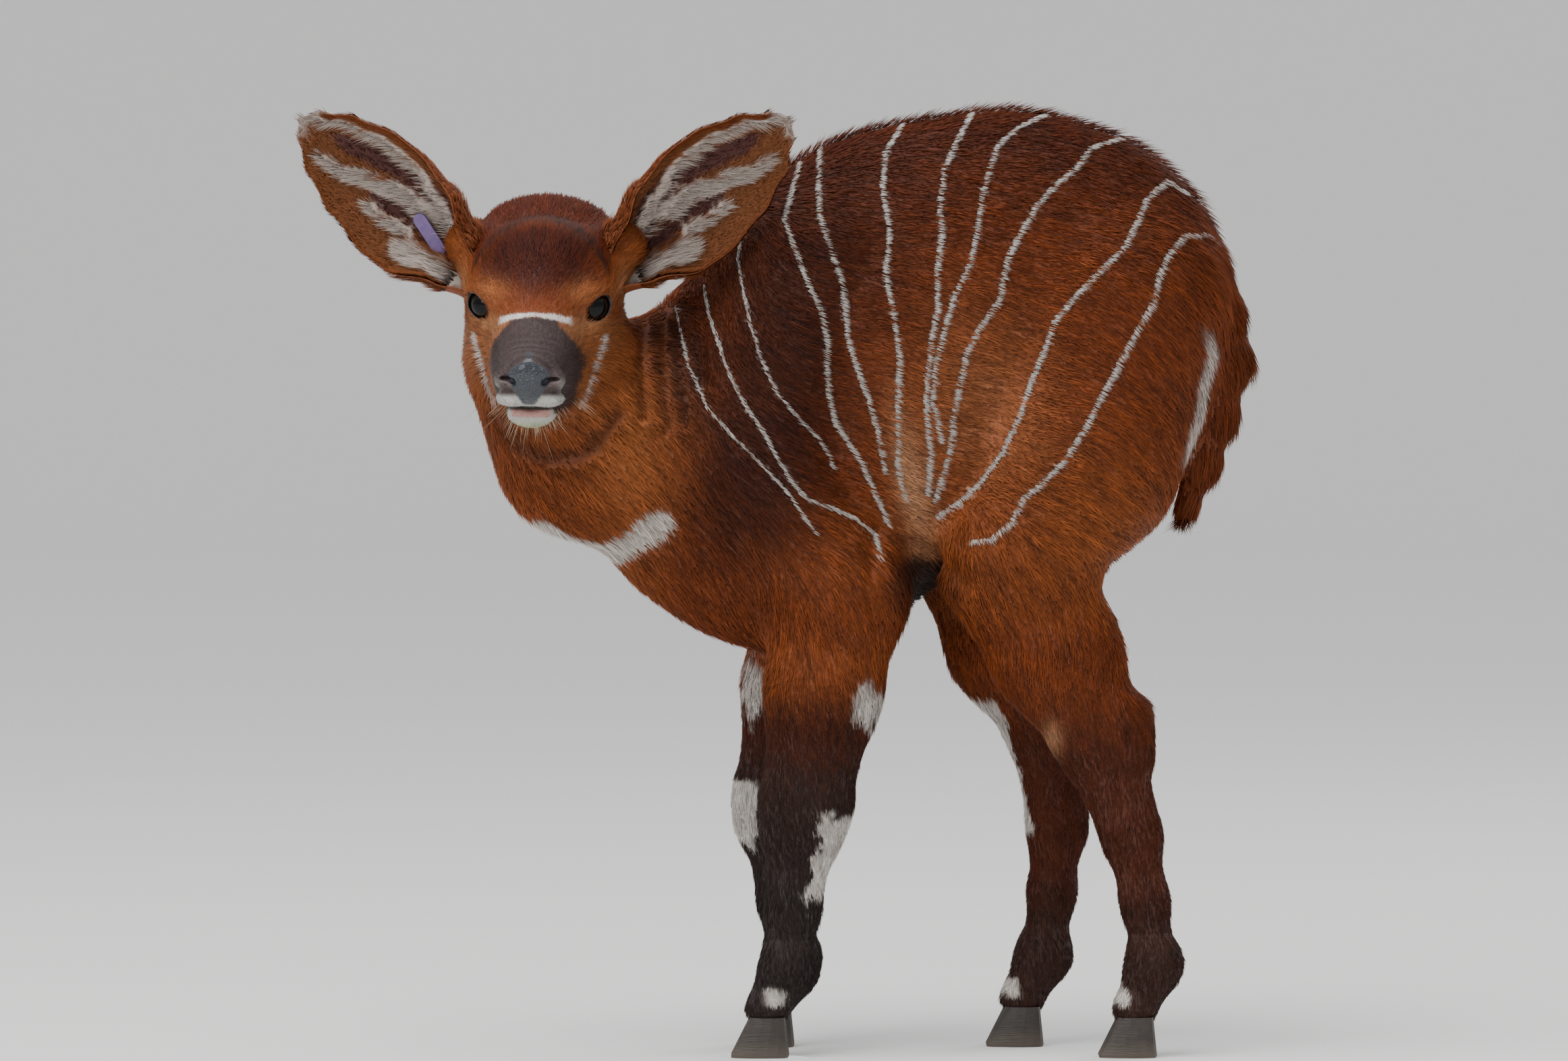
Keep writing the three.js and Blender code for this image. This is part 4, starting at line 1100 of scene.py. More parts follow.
skin_colours, skin_bare = paint_bare(hide_colours(skin_places), skin_places)
skin = mesh_object("skin", to_metres(skin_places), skin_quads, hide_finish())
give_colour(skin, skin_colours)
give(skin, "bare", "FLOAT", skin_bare["bare"])
give(skin, "pad", "FLOAT", skin_bare["pad"])
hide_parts("torso", "neck", "head", "foreleg_left", "foreleg_right", "hindleg_left",
            "hindleg_right", "tail")
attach(skin, "root")

# Eyes: two wet, nearly black balls with a bulging clear front, held by the lids. A calf's
# iris is a very dark brown ring round a wide pupil.
PUPIL_ANGLE = math.radians(24)
IRIS_ANGLE = math.radians(41)
PUPIL_BLACK = (0.0015, 0.0015, 0.002, 1)
IRIS_DARK = (0.010, 0.005, 0.003, 1)
IRIS_LIGHT = (0.032, 0.015, 0.008, 1)
RIM_BROWN = (0.014, 0.009, 0.008, 1)
EYE_RINGS = 48
EYE_SPOKES = 64
CORNEA_RISE = 0.9
CORNEA_ANGLE = math.radians(30)
CORNEA_TIP = 0.65
EYE_PLAY = 0.25


def eye_finish():
    finish = Finish("wet_eye", Roughness=0.08, Specular_IOR_Level=0.05, Coat_Roughness=0.02,
                    Coat_Weight=0.28)
    turn = finish.attribute("off_axis")
    streaks = finish.noise(2200.0, 2.0)
    pupil = finish.ramp(turn, PUPIL_ANGLE - 0.03, PUPIL_ANGLE + 0.03)
    rim = finish.ramp(turn, IRIS_ANGLE - 0.05, IRIS_ANGLE + 0.08)
    iris = finish.mix(pupil, PUPIL_BLACK, finish.mix(streaks, IRIS_DARK, IRIS_LIGHT))
    finish.feed(Base_Color=finish.mix(rim, iris, RIM_BROWN))
    return finish.material


def eyeball(name, side, node, material):
    turns = np.linspace(0, math.pi, EYE_RINGS + 1)[1:-1]
    bulge = CORNEA_RISE * np.exp(-(turns / CORNEA_ANGLE) ** 4)
    places, off_axis = [], []
    for turn, radius in zip(turns, EYE_RADIUS - EYE_PLAY + bulge):
        out, across = radius * math.cos(turn), radius * math.sin(turn)
        for n in range(EYE_SPOKES):
            spin = 2 * math.pi * n / EYE_SPOKES
            places.append((out, across * math.cos(spin), across * math.sin(spin)))
            off_axis.append(turn)
    front = len(places)
    places += [(EYE_RADIUS + CORNEA_TIP, 0, 0), (EYE_PLAY - EYE_RADIUS, 0, 0)]
    off_axis += [0, math.pi]
    faces = []
    last = (EYE_RINGS - 2) * EYE_SPOKES
    for n in range(EYE_SPOKES):
        m = (n + 1) % EYE_SPOKES
        faces += [(front, n, m), (last + m, last + n, front + 1)]
        for ring in range(EYE_RINGS - 2):
            a, b = ring * EYE_SPOKES + n, ring * EYE_SPOKES + m
            faces += [(a, a + EYE_SPOKES, b), (b, a + EYE_SPOKES, b + EYE_SPOKES)]
    ball_piece = mesh_object(name, to_metres(to_world(places, eye_axes(side))), faces, material)
    give(ball_piece, "off_axis", "FLOAT", off_axis)
    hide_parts(node)
    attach(ball_piece, "root")


wet_eye = eye_finish()
eyeball("eyeball_left", 1, "eye_left", wet_eye)
eyeball("eyeball_right", -1, "eye_right", wet_eye)

# Ears: large thin cups of gristle under skin, folded to a tube at the root. The back is
# rusty; inside, bands of long white hair run out between dark bare furrows.
EAR_ROOT = (-58, 56, 28)
EAR_TIP = (-72, 176, 122)
EAR_LIFT = {1: 2, -1: -3}
EAR_OPENING = (1, 0.25, 0)
EAR_LENGTH = 158.0
EAR_WALL = 1.5
EAR_BACK = 12
EAR_START = -0.12
EAR_ROWS = 76
EAR_COLUMNS = 60
EAR_WIDTH = [(EAR_START, 20), (0.04, 28), (0.25, 41), (0.42, 44), (0.6, 42), (0.8, 32),
             (0.93, 18), (1, 3)]
EAR_FOLD = [(EAR_START, 150), (0.1, 125), (0.3, 100), (0.6, 78), (1, 60)]
EAR_CUP = [(EAR_START, 0.8), (0.1, 0.75), (0.5, 0.55), (1, 0.35)]
EAR_SHIFT = [(0, -5), (0.25, -6), (0.6, -2), (0.8, 0), (1, 3)]
EAR_BANDS = [
    ([(0.10, 0.05), (0.30, 0.27), (0.50, 0.50), (0.83, 0.66), (0.93, 0.5)], 0.07),
    ([(0.24, 0.03), (0.37, 0.05), (0.54, -0.12), (0.70, -0.33), (0.76, -0.40)], 0.09),
    ([(0.28, -0.27), (0.38, -0.32), (0.47, -0.37)], 0.055),
    ([(-0.02, -0.40), (0.10, -0.42), (0.20, -0.42)], 0.13),
]
BAND_STRETCH = 1.6
BAND_RELIEF = 1.8
FURROW_RELIEF = 0.5
EAR_FURROWS = [
    ([(0.10, 0.10), (0.24, 0.20), (0.38, 0.30), (0.54, 0.22), (0.74, 0.12)], 0.17),
    ([(0.02, -0.14), (0.18, -0.15), (0.34, -0.12), (0.48, -0.24)], 0.09),
]
EAR_RUST = (0.200, 0.052, 0.015)
EAR_FAWN = (0.235, 0.085, 0.033)
EAR_FURROW = (0.075, 0.024, 0.020)
EAR_WHITE = (0.58, 0.50, 0.44)
EAR_FLECKS = ((0.55, 0.5, 0.48, 1), (1.3, 1.3, 1.3, 1))
EAR_GLOW = (0.004, 0.0016, 0.001)


def columns(*values):
    """Rows made of one list, or one number, for each column."""
    return np.stack(np.broadcast_arrays(*values), axis=1)


def curve(value, stops):
    """A smooth curve through given places."""
    value = np.asarray(value, float)
    made = np.full(value.shape, float(stops[0][1]))
    for (x0, y0), (x1, y1) in zip(stops, stops[1:]):
        made = np.where(value > x0, y0 + (y1 - y0) * smooth(value, x0, x1), made)
    return made


def ear_place(side):
    """The root of an ear, and its directions along, out of the cup and over the cup."""
    lift = np.array((0, 0, EAR_LIFT[side]), float)
    root, tip = (np.array(mirrored(place, side)) + lift for place in (EAR_ROOT, EAR_TIP))
    along = unit(tip - root)
    opening = np.array(mirrored(EAR_OPENING, side))
    face = unit(opening - along * (along @ opening))
    return root, along, face, np.cross(face, along) * side


def ear_surface(side, t, s, out):
    """World places for t from root to tip, s from the lower edge to the upper, and depth."""
    root, along, face, over = ear_place(side)
    angle = np.radians(curve(t, EAR_FOLD)) * s
    width = np.maximum(curve(t, EAR_WIDTH) + out, 0.3)
    across = width * np.sin(angle) + curve(t, EAR_SHIFT)
    deep = EAR_BACK - width * np.cos(angle) * curve(t, EAR_CUP)
    parts = ((t * EAR_LENGTH, along), (across, over), (deep, face))
    return to_world(root + sum(far[..., None] * way for far, way in parts), HEAD)


def band_amount(t, s, bands):
    amount = np.zeros(np.shape(t))
    for line, half in bands:
        edge = line_distance([(a * BAND_STRETCH, b) for a, b in line])(t * BAND_STRETCH, 0, s)
        amount = np.maximum(amount, smooth(edge, half * 1.25, half * 0.55))
    return amount


def ear_colours(t, s, inside):
    t, s = np.ravel(t), np.ravel(s)
    mottle = cloud(columns(t * 40, s * 16, 0), 1.0, 21)
    colours = np.tile(EAR_RUST, (len(t), 1))
    if inside:
        colours = tint(colours, EAR_FAWN, smooth(np.abs(s), 0.95, 0.5))
        colours = tint(colours, EAR_FAWN, 0.8 * smooth(s, -0.5, -0.7) * smooth(s, -1.0, -0.9))
        colours = tint(colours, EAR_FURROW, band_amount(t, s + 0.03 * mottle, EAR_FURROWS))
        colours = tint(colours, EAR_WHITE, band_amount(t, s + 0.05 * mottle, EAR_BANDS))
    colours = tint(colours, EAR_WHITE, 0.75 * smooth(t + 0.02 * mottle, 0.90, 0.97))
    return colours * (1 + 0.1 * mottle)[:, None]


def ear_finish():
    finish = Finish("ear_skin", Roughness=0.7, Specular_IOR_Level=0.3, Subsurface_Weight=0.06)
    finish.shader.inputs["Subsurface Radius"].default_value = EAR_GLOW
    fleck = finish.noise(1100.0, 3.0)
    grey = finish.mix(fleck, *EAR_FLECKS)
    colour = finish.attribute("coat_colour", "Color")
    finish.feed(Base_Color=finish.mix(0.6, colour, grey, "MULTIPLY"))
    finish.feed(Normal=finish.bump(fleck, 0.0005))
    return finish.material


def ear_shell(name, side, node, material):
    rows, across = np.linspace(EAR_START, 1, EAR_ROWS), np.linspace(-1, 1, EAR_COLUMNS)
    t, s = np.meshgrid(rows, across, indexing="ij")
    relief = BAND_RELIEF * band_amount(t, s, EAR_BANDS)
    relief = (relief - FURROW_RELIEF * band_amount(t, s, EAR_FURROWS)) * smooth(t, 0.0, 0.1)
    outer = ear_surface(side, t, s, EAR_WALL / 2 - 0.3)
    inner = ear_surface(side, t, s, -EAR_WALL / 2 - relief)
    places = np.concatenate([outer.reshape(-1, 3), inner.reshape(-1, 3)])
    grid = np.arange(t.size).reshape(t.shape)
    a, b, c, d = grid[:-1, :-1], grid[:-1, 1:], grid[1:, 1:], grid[1:, :-1]
    back = np.stack([a, b, c, d], axis=-1).reshape(-1, 4)
    front = np.stack([a, d, c, b], axis=-1).reshape(-1, 4) + t.size
    edge = np.concatenate([grid[0, :], grid[1:, -1], grid[-1, -2::-1], grid[-2:0:-1, 0]])
    after = np.roll(edge, -1)
    rim = columns(edge, edge + t.size, after + t.size, after)
    faces = np.concatenate([back, front, rim])
    faces = faces if side > 0 else faces[:, ::-1]
    shell = mesh_object(name, to_metres(places), faces, material)
    give_colour(shell, np.concatenate([ear_colours(t, s, False), ear_colours(t, s, True)]))
    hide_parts(node)
    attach(shell, "root")


ear_skin = ear_finish()
ear_shell("ear_shell_left", 1, "ear_left", ear_skin)
ear_shell("ear_shell_right", -1, "ear_right", ear_skin)

# Hooves: eight claws of dark horn that the solids already shape. They get worn, faintly
# ringed horn that is dusty towards the ground.
HOOVES = [f"hoof_{limb}_{side}_{claw}" for limb in ("fore", "hind") for side in ("left", "right")
          for claw in ("inner", "outer")]
HORN_DARK = (0.016, 0.013, 0.011, 1)
HORN_WORN = (0.055, 0.042, 0.034, 1)
HORN_DUST = (0.13, 0.10, 0.075, 1)
DUST_HEIGHT = 0.014
RING_STRETCH = (60.0, 60.0, 900.0)


def horn_finish():
    finish = Finish("dark_horn", Specular_IOR_Level=0.45)
    stretched = {"Vector": finish.place(), "Scale": RING_STRETCH}
    rings = finish.noise(1.0, 3.0, finish.node("ShaderNodeMapping", {}, stretched))
    worn = finish.noise(160.0, 4.0)
    height = finish.node("ShaderNodeSeparateXYZ", {}, {"Vector": finish.place()}, output=2)
    dust = finish.ramp(height, DUST_HEIGHT, 0.0)
    horn = finish.mix(worn, HORN_DARK, HORN_WORN)
    finish.feed(Base_Color=finish.mix(dust * 0.5, horn, HORN_DUST))
    finish.feed(Roughness=0.35 + 0.3 * worn, Normal=finish.bump(rings + 0.4 * worn, 0.0007))
    return finish.material


def refinish(node, material):
    """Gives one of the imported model's own solids a better material."""
    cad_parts[node].data.materials.clear()
    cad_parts[node].data.materials.append(material)


dark_horn = horn_finish()
for hoof in HOOVES:
    refinish(hoof, dark_horn)

# Ear tag: a narrow strip of bendy purple plastic on a round stud in the right ear. It is
# moulded, slightly matt and a little grimy, and bears no writing.
TAG_GRIMY = (0.11, 0.07, 0.20, 1)
TAG_CLEAN = (0.24, 0.16, 0.38, 1)


def tag_finish():
    finish = Finish("purple_plastic", Specular_IOR_Level=0.5)
    grime = finish.noise(260.0, 4.0)
    finish.feed(Base_Color=finish.mix(grime, TAG_GRIMY, TAG_CLEAN))
    finish.feed(Roughness=0.32 + 0.25 * grime, Normal=finish.bump(finish.noise(1500.0), 0.00015))
    return finish.material


refinish("ear_tag", tag_finish())

# Coat: short fine hair in thin tufts that overlap like shingles along the lie of the coat,
# from the muzzle back over the body and down the legs. Each tuft is a slim solid blade.
COAT_SEED = 7
BLADE_CORNERS = [(-0.5, 0.0, 0.0), (0.5, 0.0, 0.0), (0.04, 0.42, 0.5), (0.0, 1.0, 0.12)]
BLADE_FACES = [(0, 1, 2), (1, 3, 2), (3, 0, 2), (0, 3, 1)]
PATCH_SIZE = 0.003
TUFT_LIMIT = 49000
TURN_SPREAD = (0.5, 0.6, 1.0)
LENGTH_SPREAD = 0.28
ROOT_DEPTH = 0.25
TIP_SHARE = 0.62
THICKNESS_SHARE = 0.62
STREAK_STEPS = (-2.0, -1.0, 0.0, 1.0, 2.0)
STRIPE_HAIR = (0.5, 4.6, 0.4)
STRIPE_FOOT = 372
EAR_TUFTS = ((False, 6000), (True, 13000))
CHIN_HAIRS = 150
CHIN_PALE = (0.62, 0.50, 0.36)
CHIN_DARK = (0.36, 0.18, 0.08)
LASHES = 46
LASH_ENDS = (math.radians(18), math.radians(162))
LASH_ARCH = (13.2, 11.6, 8.8)
LASH_LEAN = (1.0, 0.55, 0.5)
LASH_HAIR = (0.35, 6.0, 0.3)
LASH_BLACK = (0.02, 0.012, 0.01)
ATLAS = {
    "trunk": (0.00, 0.00, 0.60, 0.46), "neck": (0.62, 0.00, 0.98, 0.22),
    "head": (0.62, 0.24, 0.98, 0.62),
    "foreleg_left": (0.00, 0.48, 0.14, 0.80), "foreleg_right": (0.15, 0.48, 0.29, 0.80),
    "hindleg_left": (0.30, 0.48, 0.44, 0.80), "hindleg_right": (0.45, 0.48, 0.59, 0.80),
    "tail": (0.62, 0.64, 0.70, 0.98), "ear_left_out": (0.72, 0.64, 0.84, 0.80),
    "ear_left_in": (0.86, 0.64, 0.98, 0.80), "ear_right_out": (0.72, 0.82, 0.84, 0.98),
    "ear_right_in": (0.86, 0.82, 0.98, 0.98),
}
chance = np.random.default_rng(COAT_SEED)


def blade_shape():
    blade = mesh_object("tuft_blade", BLADE_CORNERS, BLADE_FACES)
    give(blade, "toward_tip", "FLOAT", [y for x, y, z in BLADE_CORNERS])
    give(blade, "blade_spot", "FLOAT_VECTOR", [(x + 0.5, y, 0) for x, y, z in BLADE_CORNERS])
    return blade


class Grower:
    """A geometry node tree that plants one blade on every root."""

    def __init__(self, name):
        self.tree = bpy.data.node_groups.new(name, "GeometryNodeTree")
        self.inputs = {}

    def take(self, name, kind):
        socket = self.tree.interface.new_socket(name=name, in_out="INPUT", socket_type=kind)
        self.inputs[name] = socket.identifier

    def node(self, kind, settings=None, values=None):
        made = self.tree.nodes.new(kind)
        for key, value in (settings or {}).items():
            setattr(made, key, value)
        for key, value in (values or {}).items():
            if hasattr(value, "links"):
                self.tree.links.new(value, made.inputs[key])
            else:
                made.inputs[key].default_value = value
        return made

    def named(self, name, kind="FLOAT_VECTOR"):
        reader = self.node("GeometryNodeInputNamedAttribute", {"data_type": kind}, {"Name": name})
        return next(socket for socket in reader.outputs if socket.enabled)

    def scaled(self, vector, by):
        values = {0: vector, "Scale": by}
        return self.node("ShaderNodeVectorMath", {"operation": "SCALE"}, values).outputs[0]


def tuft_grower():
    grower = Grower("tuft_grower")
    for name, kind in (("Roots", "Geometry"), ("Blade", "Object"), ("Turn Spread", "Float"),
                       ("Length Spread", "Float"), ("Patch Size", "Float"), ("Seed", "Int"),
                       ("Hair", "Material")):
        grower.take(name, "NodeSocket" + kind)
    grower.tree.interface.new_socket(name="Coat", in_out="OUTPUT", socket_type="NodeSocketGeometry")
    given = grower.node("NodeGroupInput").outputs
    node = grower.node
    blade = node("GeometryNodeObjectInfo", {}, {"Object": given["Blade"]})
    lie = node("FunctionNodeAxesToRotation", {"primary_axis": "Y", "secondary_axis": "Z"},
               {0: grower.named("lie"), 1: grower.named("coat_normal")})
    spread = grower.scaled(TURN_SPREAD, given["Turn Spread"])
    sway = node("FunctionNodeRandomValue", {"data_type": "FLOAT_VECTOR"},
                {0: grower.scaled(spread, -1.0), 1: spread, "Seed": given["Seed"]})
    sway_turn = node("FunctionNodeEulerToRotation", {}, {0: sway.outputs[0]})
    turned = node("FunctionNodeRotateRotation", {"rotation_space": "LOCAL"},
                  {0: lie.outputs[0], 1: sway_turn.outputs[0]})
    least = node("ShaderNodeMath", {"operation": "SUBTRACT"}, {0: 1.0, 1: given["Length Spread"]})
    most = node("ShaderNodeMath", {"operation": "ADD"}, {0: 1.0, 1: given["Length Spread"]})
    growth = node("FunctionNodeRandomValue", {"data_type": "FLOAT"},
                  {2: least.outputs[0], 3: most.outputs[0], "Seed": given["Seed"]})
    size = grower.scaled(grower.named("size"), growth.outputs[1])
    planted = node("GeometryNodeInstanceOnPoints", {},
                   {"Points": given["Roots"], "Instance": blade.outputs["Geometry"],
                    "Rotation": turned.outputs[0], "Scale": size})
    real = node("GeometryNodeRealizeInstances", {}, {"Geometry": planted.outputs[0]})
    across = grower.scaled(grower.named("blade_spot"), given["Patch Size"])
    spot = node("ShaderNodeVectorMath", {"operation": "ADD"}, {0: grower.named("patch"), 1: across})
    stored = node("GeometryNodeStoreNamedAttribute", {"data_type": "FLOAT2", "domain": "CORNER"},
                  {"Geometry": real.outputs[0], "Name": "OFBake", "Value": spot.outputs[0]})
    made = stored.outputs[0]
    for name in ("lie", "size", "patch", "blade_spot"):
        made = node("GeometryNodeRemoveAttribute", {}, {"Geometry": made, "Name": name}).outputs[0]
    coloured = node("GeometryNodeSetMaterial", {}, {"Geometry": made, "Material": given["Hair"]})
    node("NodeGroupOutput", {}, {"Coat": coloured.outputs[0]})
    return grower


# Hair is darker at the root than at the tip: the dark roots are painted shade deep in the coat.
ROOT_TO_TIP = ((0.52, 0.50, 0.50, 1), (1.18, 1.18, 1.18, 1))
COAT_SHEEN = 1.1


def hair_finish():
    finish = Finish("hair", Roughness=0.5, Specular_IOR_Level=0.11)
    toward_tip = finish.attribute("toward_tip")
    colour = finish.attribute("coat_colour", "Color")
    # Painted shade: each hair darkens towards its root.
    shade = finish.mix(toward_tip, *ROOT_TO_TIP)
    finish.feed(Base_Color=finish.mix(1.0, colour, shade, "MULTIPLY"))
    lying = finish.node("ShaderNodeVectorMath", {"operation": "SCALE"},
                        {0: finish.attribute("coat_normal", "Vector"), "Scale": COAT_SHEEN})
    own = finish.node("ShaderNodeNewGeometry", output="Normal")
    both = finish.node("ShaderNodeVectorMath", {"operation": "ADD"}, {0: lying, 1: own})
    finish.feed(Normal=finish.node("ShaderNodeVectorMath", {"operation": "NORMALIZE"}, {0: both}))
    return finish.material


def grow_coat(name, roots, turn_spread=0.2):
    """Plants the blades on the roots and leaves one plain mesh, or a few if it is large."""
    count = len(roots["place"])
    pieces = max(1, math.ceil(count / TUFT_LIMIT))
    for number in range(pieces):
        own = slice(number * count // pieces, (number + 1) * count // pieces)
        mesh = bpy.data.meshes.new("roots")
        places = to_metres(roots["place"][own]).astype(np.float32)
        mesh.vertices.add(len(places))
        mesh.vertices.foreach_set("co", places.ravel())
        bed = bpy.data.objects.new("roots", mesh)
        bpy.context.scene.collection.objects.link(bed)
        give(bed, "coat_normal", "FLOAT_VECTOR", roots["normal"][own])
        give(bed, "size", "FLOAT_VECTOR", roots["size"][own] * MM)
        for layer in ("lie", "patch"):
            give(bed, layer, "FLOAT_VECTOR", roots[layer][own])
        give_colour(bed, roots["colour"][own])
        modifier = bed.modifiers.new("tufts", "NODES")
        modifier.node_group = grower.tree
        settings = {"Blade": blade, "Turn Spread": turn_spread, "Length Spread": LENGTH_SPREAD,
                    "Patch Size": PATCH_SIZE, "Seed": COAT_SEED + number, "Hair": hair}
        for socket, value in settings.items():
            modifier[grower.inputs[socket]] = value
        graph = bpy.context.evaluated_depsgraph_get()
        grown = bpy.data.meshes.new_from_object(bed.evaluated_get(graph))
        label = name if pieces == 1 else f"{name}_{number + 1}"
        grown.name = label
        coat = bpy.data.objects.new(label, grown)
        bpy.context.scene.collection.objects.link(coat)
        bpy.data.objects.remove(bed)
        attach(coat, "root")


ROLLS = {"trunk": (-130, 480), "head": (-115, 235), "neck": (20, 200), "tail": (375, 240)}
LEG_ROLL = (20, 380)
TRUNK_MIDDLE = 500
NECK_MIDDLE = (-20, 480)
TAIL_MIDDLE = 318
LEG_MIDDLE = 46


def unwrap(places, name):
    """Each part is rolled out round its own axis on to its field of the atlas."""
    x, y, z = places.T
    if name == "trunk":
        along, angle = x, np.arctan2(y, z - TRUNK_MIDDLE)
    elif name == "head":
        along, left, up = to_axes(places, HEAD).T
        angle = np.arctan2(left, up)
    elif name == "neck":
        along, angle = -x, np.arctan2(y - NECK_MIDDLE[0], z - NECK_MIDDLE[1])
    elif name == "tail":
        along, angle = z, np.arctan2(y, x - TAIL_MIDDLE)
    else:
        side = LEFT if name.endswith("left") else RIGHT
        limb = (FORELEGS if name.startswith("fore") else HINDLEGS)[side]
        stops = np.array(sorted(limb.values(), key=lambda at: at[2]), float)
        middle = np.interp(z, stops[:, 2], stops[:, 0])
        along, angle = z, np.arctan2(y - side * LEG_MIDDLE, x - middle)
    start, length = ROLLS.get(name, LEG_ROLL)
    low_u, low_v, high_u, high_v = ATLAS[name]
    u = low_u + (high_u - low_u) * np.clip((along - start) / length, 0, 1)
    v = low_v + (high_v - low_v) * (angle / (2 * math.pi) + 0.5)
    return columns(u, v, 0)


NECK_FLOW = (0.62, 0.42, -0.66)
LIMB_FLOW = (0.12, 0, -1.0)
TAIL_HEIGHTS = (390, 440, 500, 560, 590)
TAIL_SWINGS = (-0.42, -0.38, -0.15, 0.08, 0.3)


def coat_lie(places, shares):
    """The way the hair points: back over the body, down the limbs, out from the muzzle."""
    x, y, z = places.T
    fall = 0.9 * smooth(-x, -40, 60) + 0.8 * smooth(x, 190, 300) * smooth(z, 640, 540)
    fall += 0.7 * smooth(z, 430, 350)
    nose, left, up = to_axes(places, HEAD).T
    out = np.hypot(left, up + 22) + TINY
    ahead = smooth(nose, -70, -20)
    face = columns(-0.75, ahead * left / out, ahead * (up + 22) / out) @ HEAD_AXES.T
    flow = shares["trunk"][:, None] * columns(1, 0, -0.30 - fall)
    flow += shares["neck"][:, None] * np.array(NECK_FLOW)
    flow += shares["tail"][:, None] * columns(np.interp(z, TAIL_HEIGHTS, TAIL_SWINGS), 0, -1)
    for name in LIMBS:
        flow += shares[name][:, None] * np.array(LIMB_FLOW)
    return flow + shares["head"][:, None] * face


def hair_sizes(places, shares):
    """Width and length of the tufts, how many to a square millimetre, and lift."""
    x, y, z = places.T
    nose, aside, up, height = face_places(places)
    limb = sum(shares[name] for name in LIMBS)
    low = smooth(z, 330, 210) * np.minimum(limb * 2, 1)
    crest = smooth(np.abs(y), 9, 4) * smooth(z, 600, 640) * shares["trunk"]
    length = 11.5 - 5.0 * low - 1.2 * smooth(z, 120, 50)
    length += 4 * crest + 9 * round_spot(x, z, (318, 600), (26, 34))
    body = {"length": length, "width": 1.35 - 0.50 * low, "many": 0.25 + 0.29 * low,
            "lift": 0.15 + 0.05 * cloud(places, 20.0, 31) + 0.30 * crest}
    tail = {"length": 20, "width": 1.4, "many": 0.7, "lift": 0.03}
    ahead = smooth(nose, -70, -10)
    muzzle = smooth(nose, 30, 70)
    brow = ahead * smooth(height, 22, 50) * smooth(aside, 52, 36)
    jowl = smooth(aside, 34, 44) * smooth(height, -15, -40)
    temple = smooth(aside, 50, 60) * smooth(height, 34, 20)
    face = {"length": 8.0 - 3.2 * ahead - 2.4 * muzzle + 4.5 * brow + 5 * temple + 4 * jowl,
            "width": 0.95 - 0.33 * ahead - 0.16 * muzzle,
            "many": 0.50 + 0.75 * ahead + 0.75 * muzzle,
            "lift": 0.16 + 0.22 * brow + 0.3 * jowl}
    return {key: toward(toward(body[key], tail[key], shares["tail"]), face[key], shares["head"])
            for key in body}


def plant_roots(closeness, seed):
    """Roots spread over the hide, as many to a square millimetre as closeness says."""
    places, normals, quads = skin_places, skin_normals, skin_quads
    luck = np.random.default_rng(seed)
    centres = places[quads].mean(axis=1)
    corners = [places[quads[:, n]] for n in range(4)]
    area = 0.5 * np.linalg.norm(np.cross(corners[2] - corners[0], corners[3] - corners[1]), axis=1)
    heap = np.cumsum(area * closeness(centres))
    count = int(heap[-1])
    picks = (np.arange(count) + luck.random(count)) / count * heap[-1]
    face = np.minimum(np.searchsorted(heap, picks), len(quads) - 1)
    a, b = luck.random((2, count, 1))
    weights = [(1 - a) * (1 - b), a * (1 - b), a * b, (1 - a) * b]
    place = sum(w * places[quads[face, n]] for n, w in enumerate(weights))
    normal = sum(w * normals[quads[face, n]] for n, w in enumerate(weights))
    return place, unit(normal)


def lay_down(flow, normal, lift):
    """Hair directions along the hide, raised by the lift angle."""
    flow = unit(flow - (flow * normal).sum(axis=1, keepdims=True) * normal)
    return flow * np.cos(lift)[:, None] + normal * np.sin(lift)[:, None]


def coat_closeness(centres):
    return hair_sizes(centres, part_shares(centres))["many"] * (1 - bare_skin(centres)["bare"])


def hair_streaks(place, flow, reach, size):
    """Random clumps drawn out along the hair, from -1 to 1."""
    total = sum(cloud(place + (step * reach)[:, None] * flow, size, 61) for step in STREAK_STEPS)
    return np.clip(total / 2.0, -1, 1)


def hide_roots():
    place, normal = plant_roots(coat_closeness, COAT_SEED)
    shares = part_shares(place)
    sizes = hair_sizes(place, shares)
    wander = columns(*(cloud(place, 32.0, 41 + n) for n in range(3)))
    flow = coat_lie(place, shares) + (0.16 - 0.12 * shares["tail"])[:, None] * wander
    flat = lay_down(flow, normal, 0 * sizes["lift"])
    coarse = hair_streaks(place, flat, 0.32 * sizes["length"], 3.2)
    fine = hair_streaks(place, flat, 0.32 * sizes["length"], 1.5)
    streaks = toward(coarse, fine, shares["head"])
    lie = lay_down(flow, normal, sizes["lift"] + 0.10 * streaks)
    shown = place + lie * (TIP_SHARE * sizes["length"])[:, None]
    colour = hide_colours(shown, striped=False)
    vary = 1 + 0.15 * chance.standard_normal((len(place), 1)) + 0.42 * streaks[:, None]
    colour = np.clip(colour * np.clip(vary, 0.45, 1.7), *COLOUR_RANGE)
    names = [name for name in ATLAS if name in MASSES]
    owner = np.argmax([shares[name] for name in names], axis=0)
    patch = np.zeros((len(place), 3))
    for number, name in enumerate(names):
        own = owner == number
        patch[own] = unwrap(place[own], name)
    size = columns(sizes["width"], sizes["length"], THICKNESS_SHARE * sizes["width"])
    roots = {"place": place - ROOT_DEPTH * normal, "normal": normal, "lie": lie, "colour": colour,
             "size": size, "patch": patch}
    return roots, owner, names


def chosen(roots, which):
    return {key: value[which] for key, value in roots.items()}


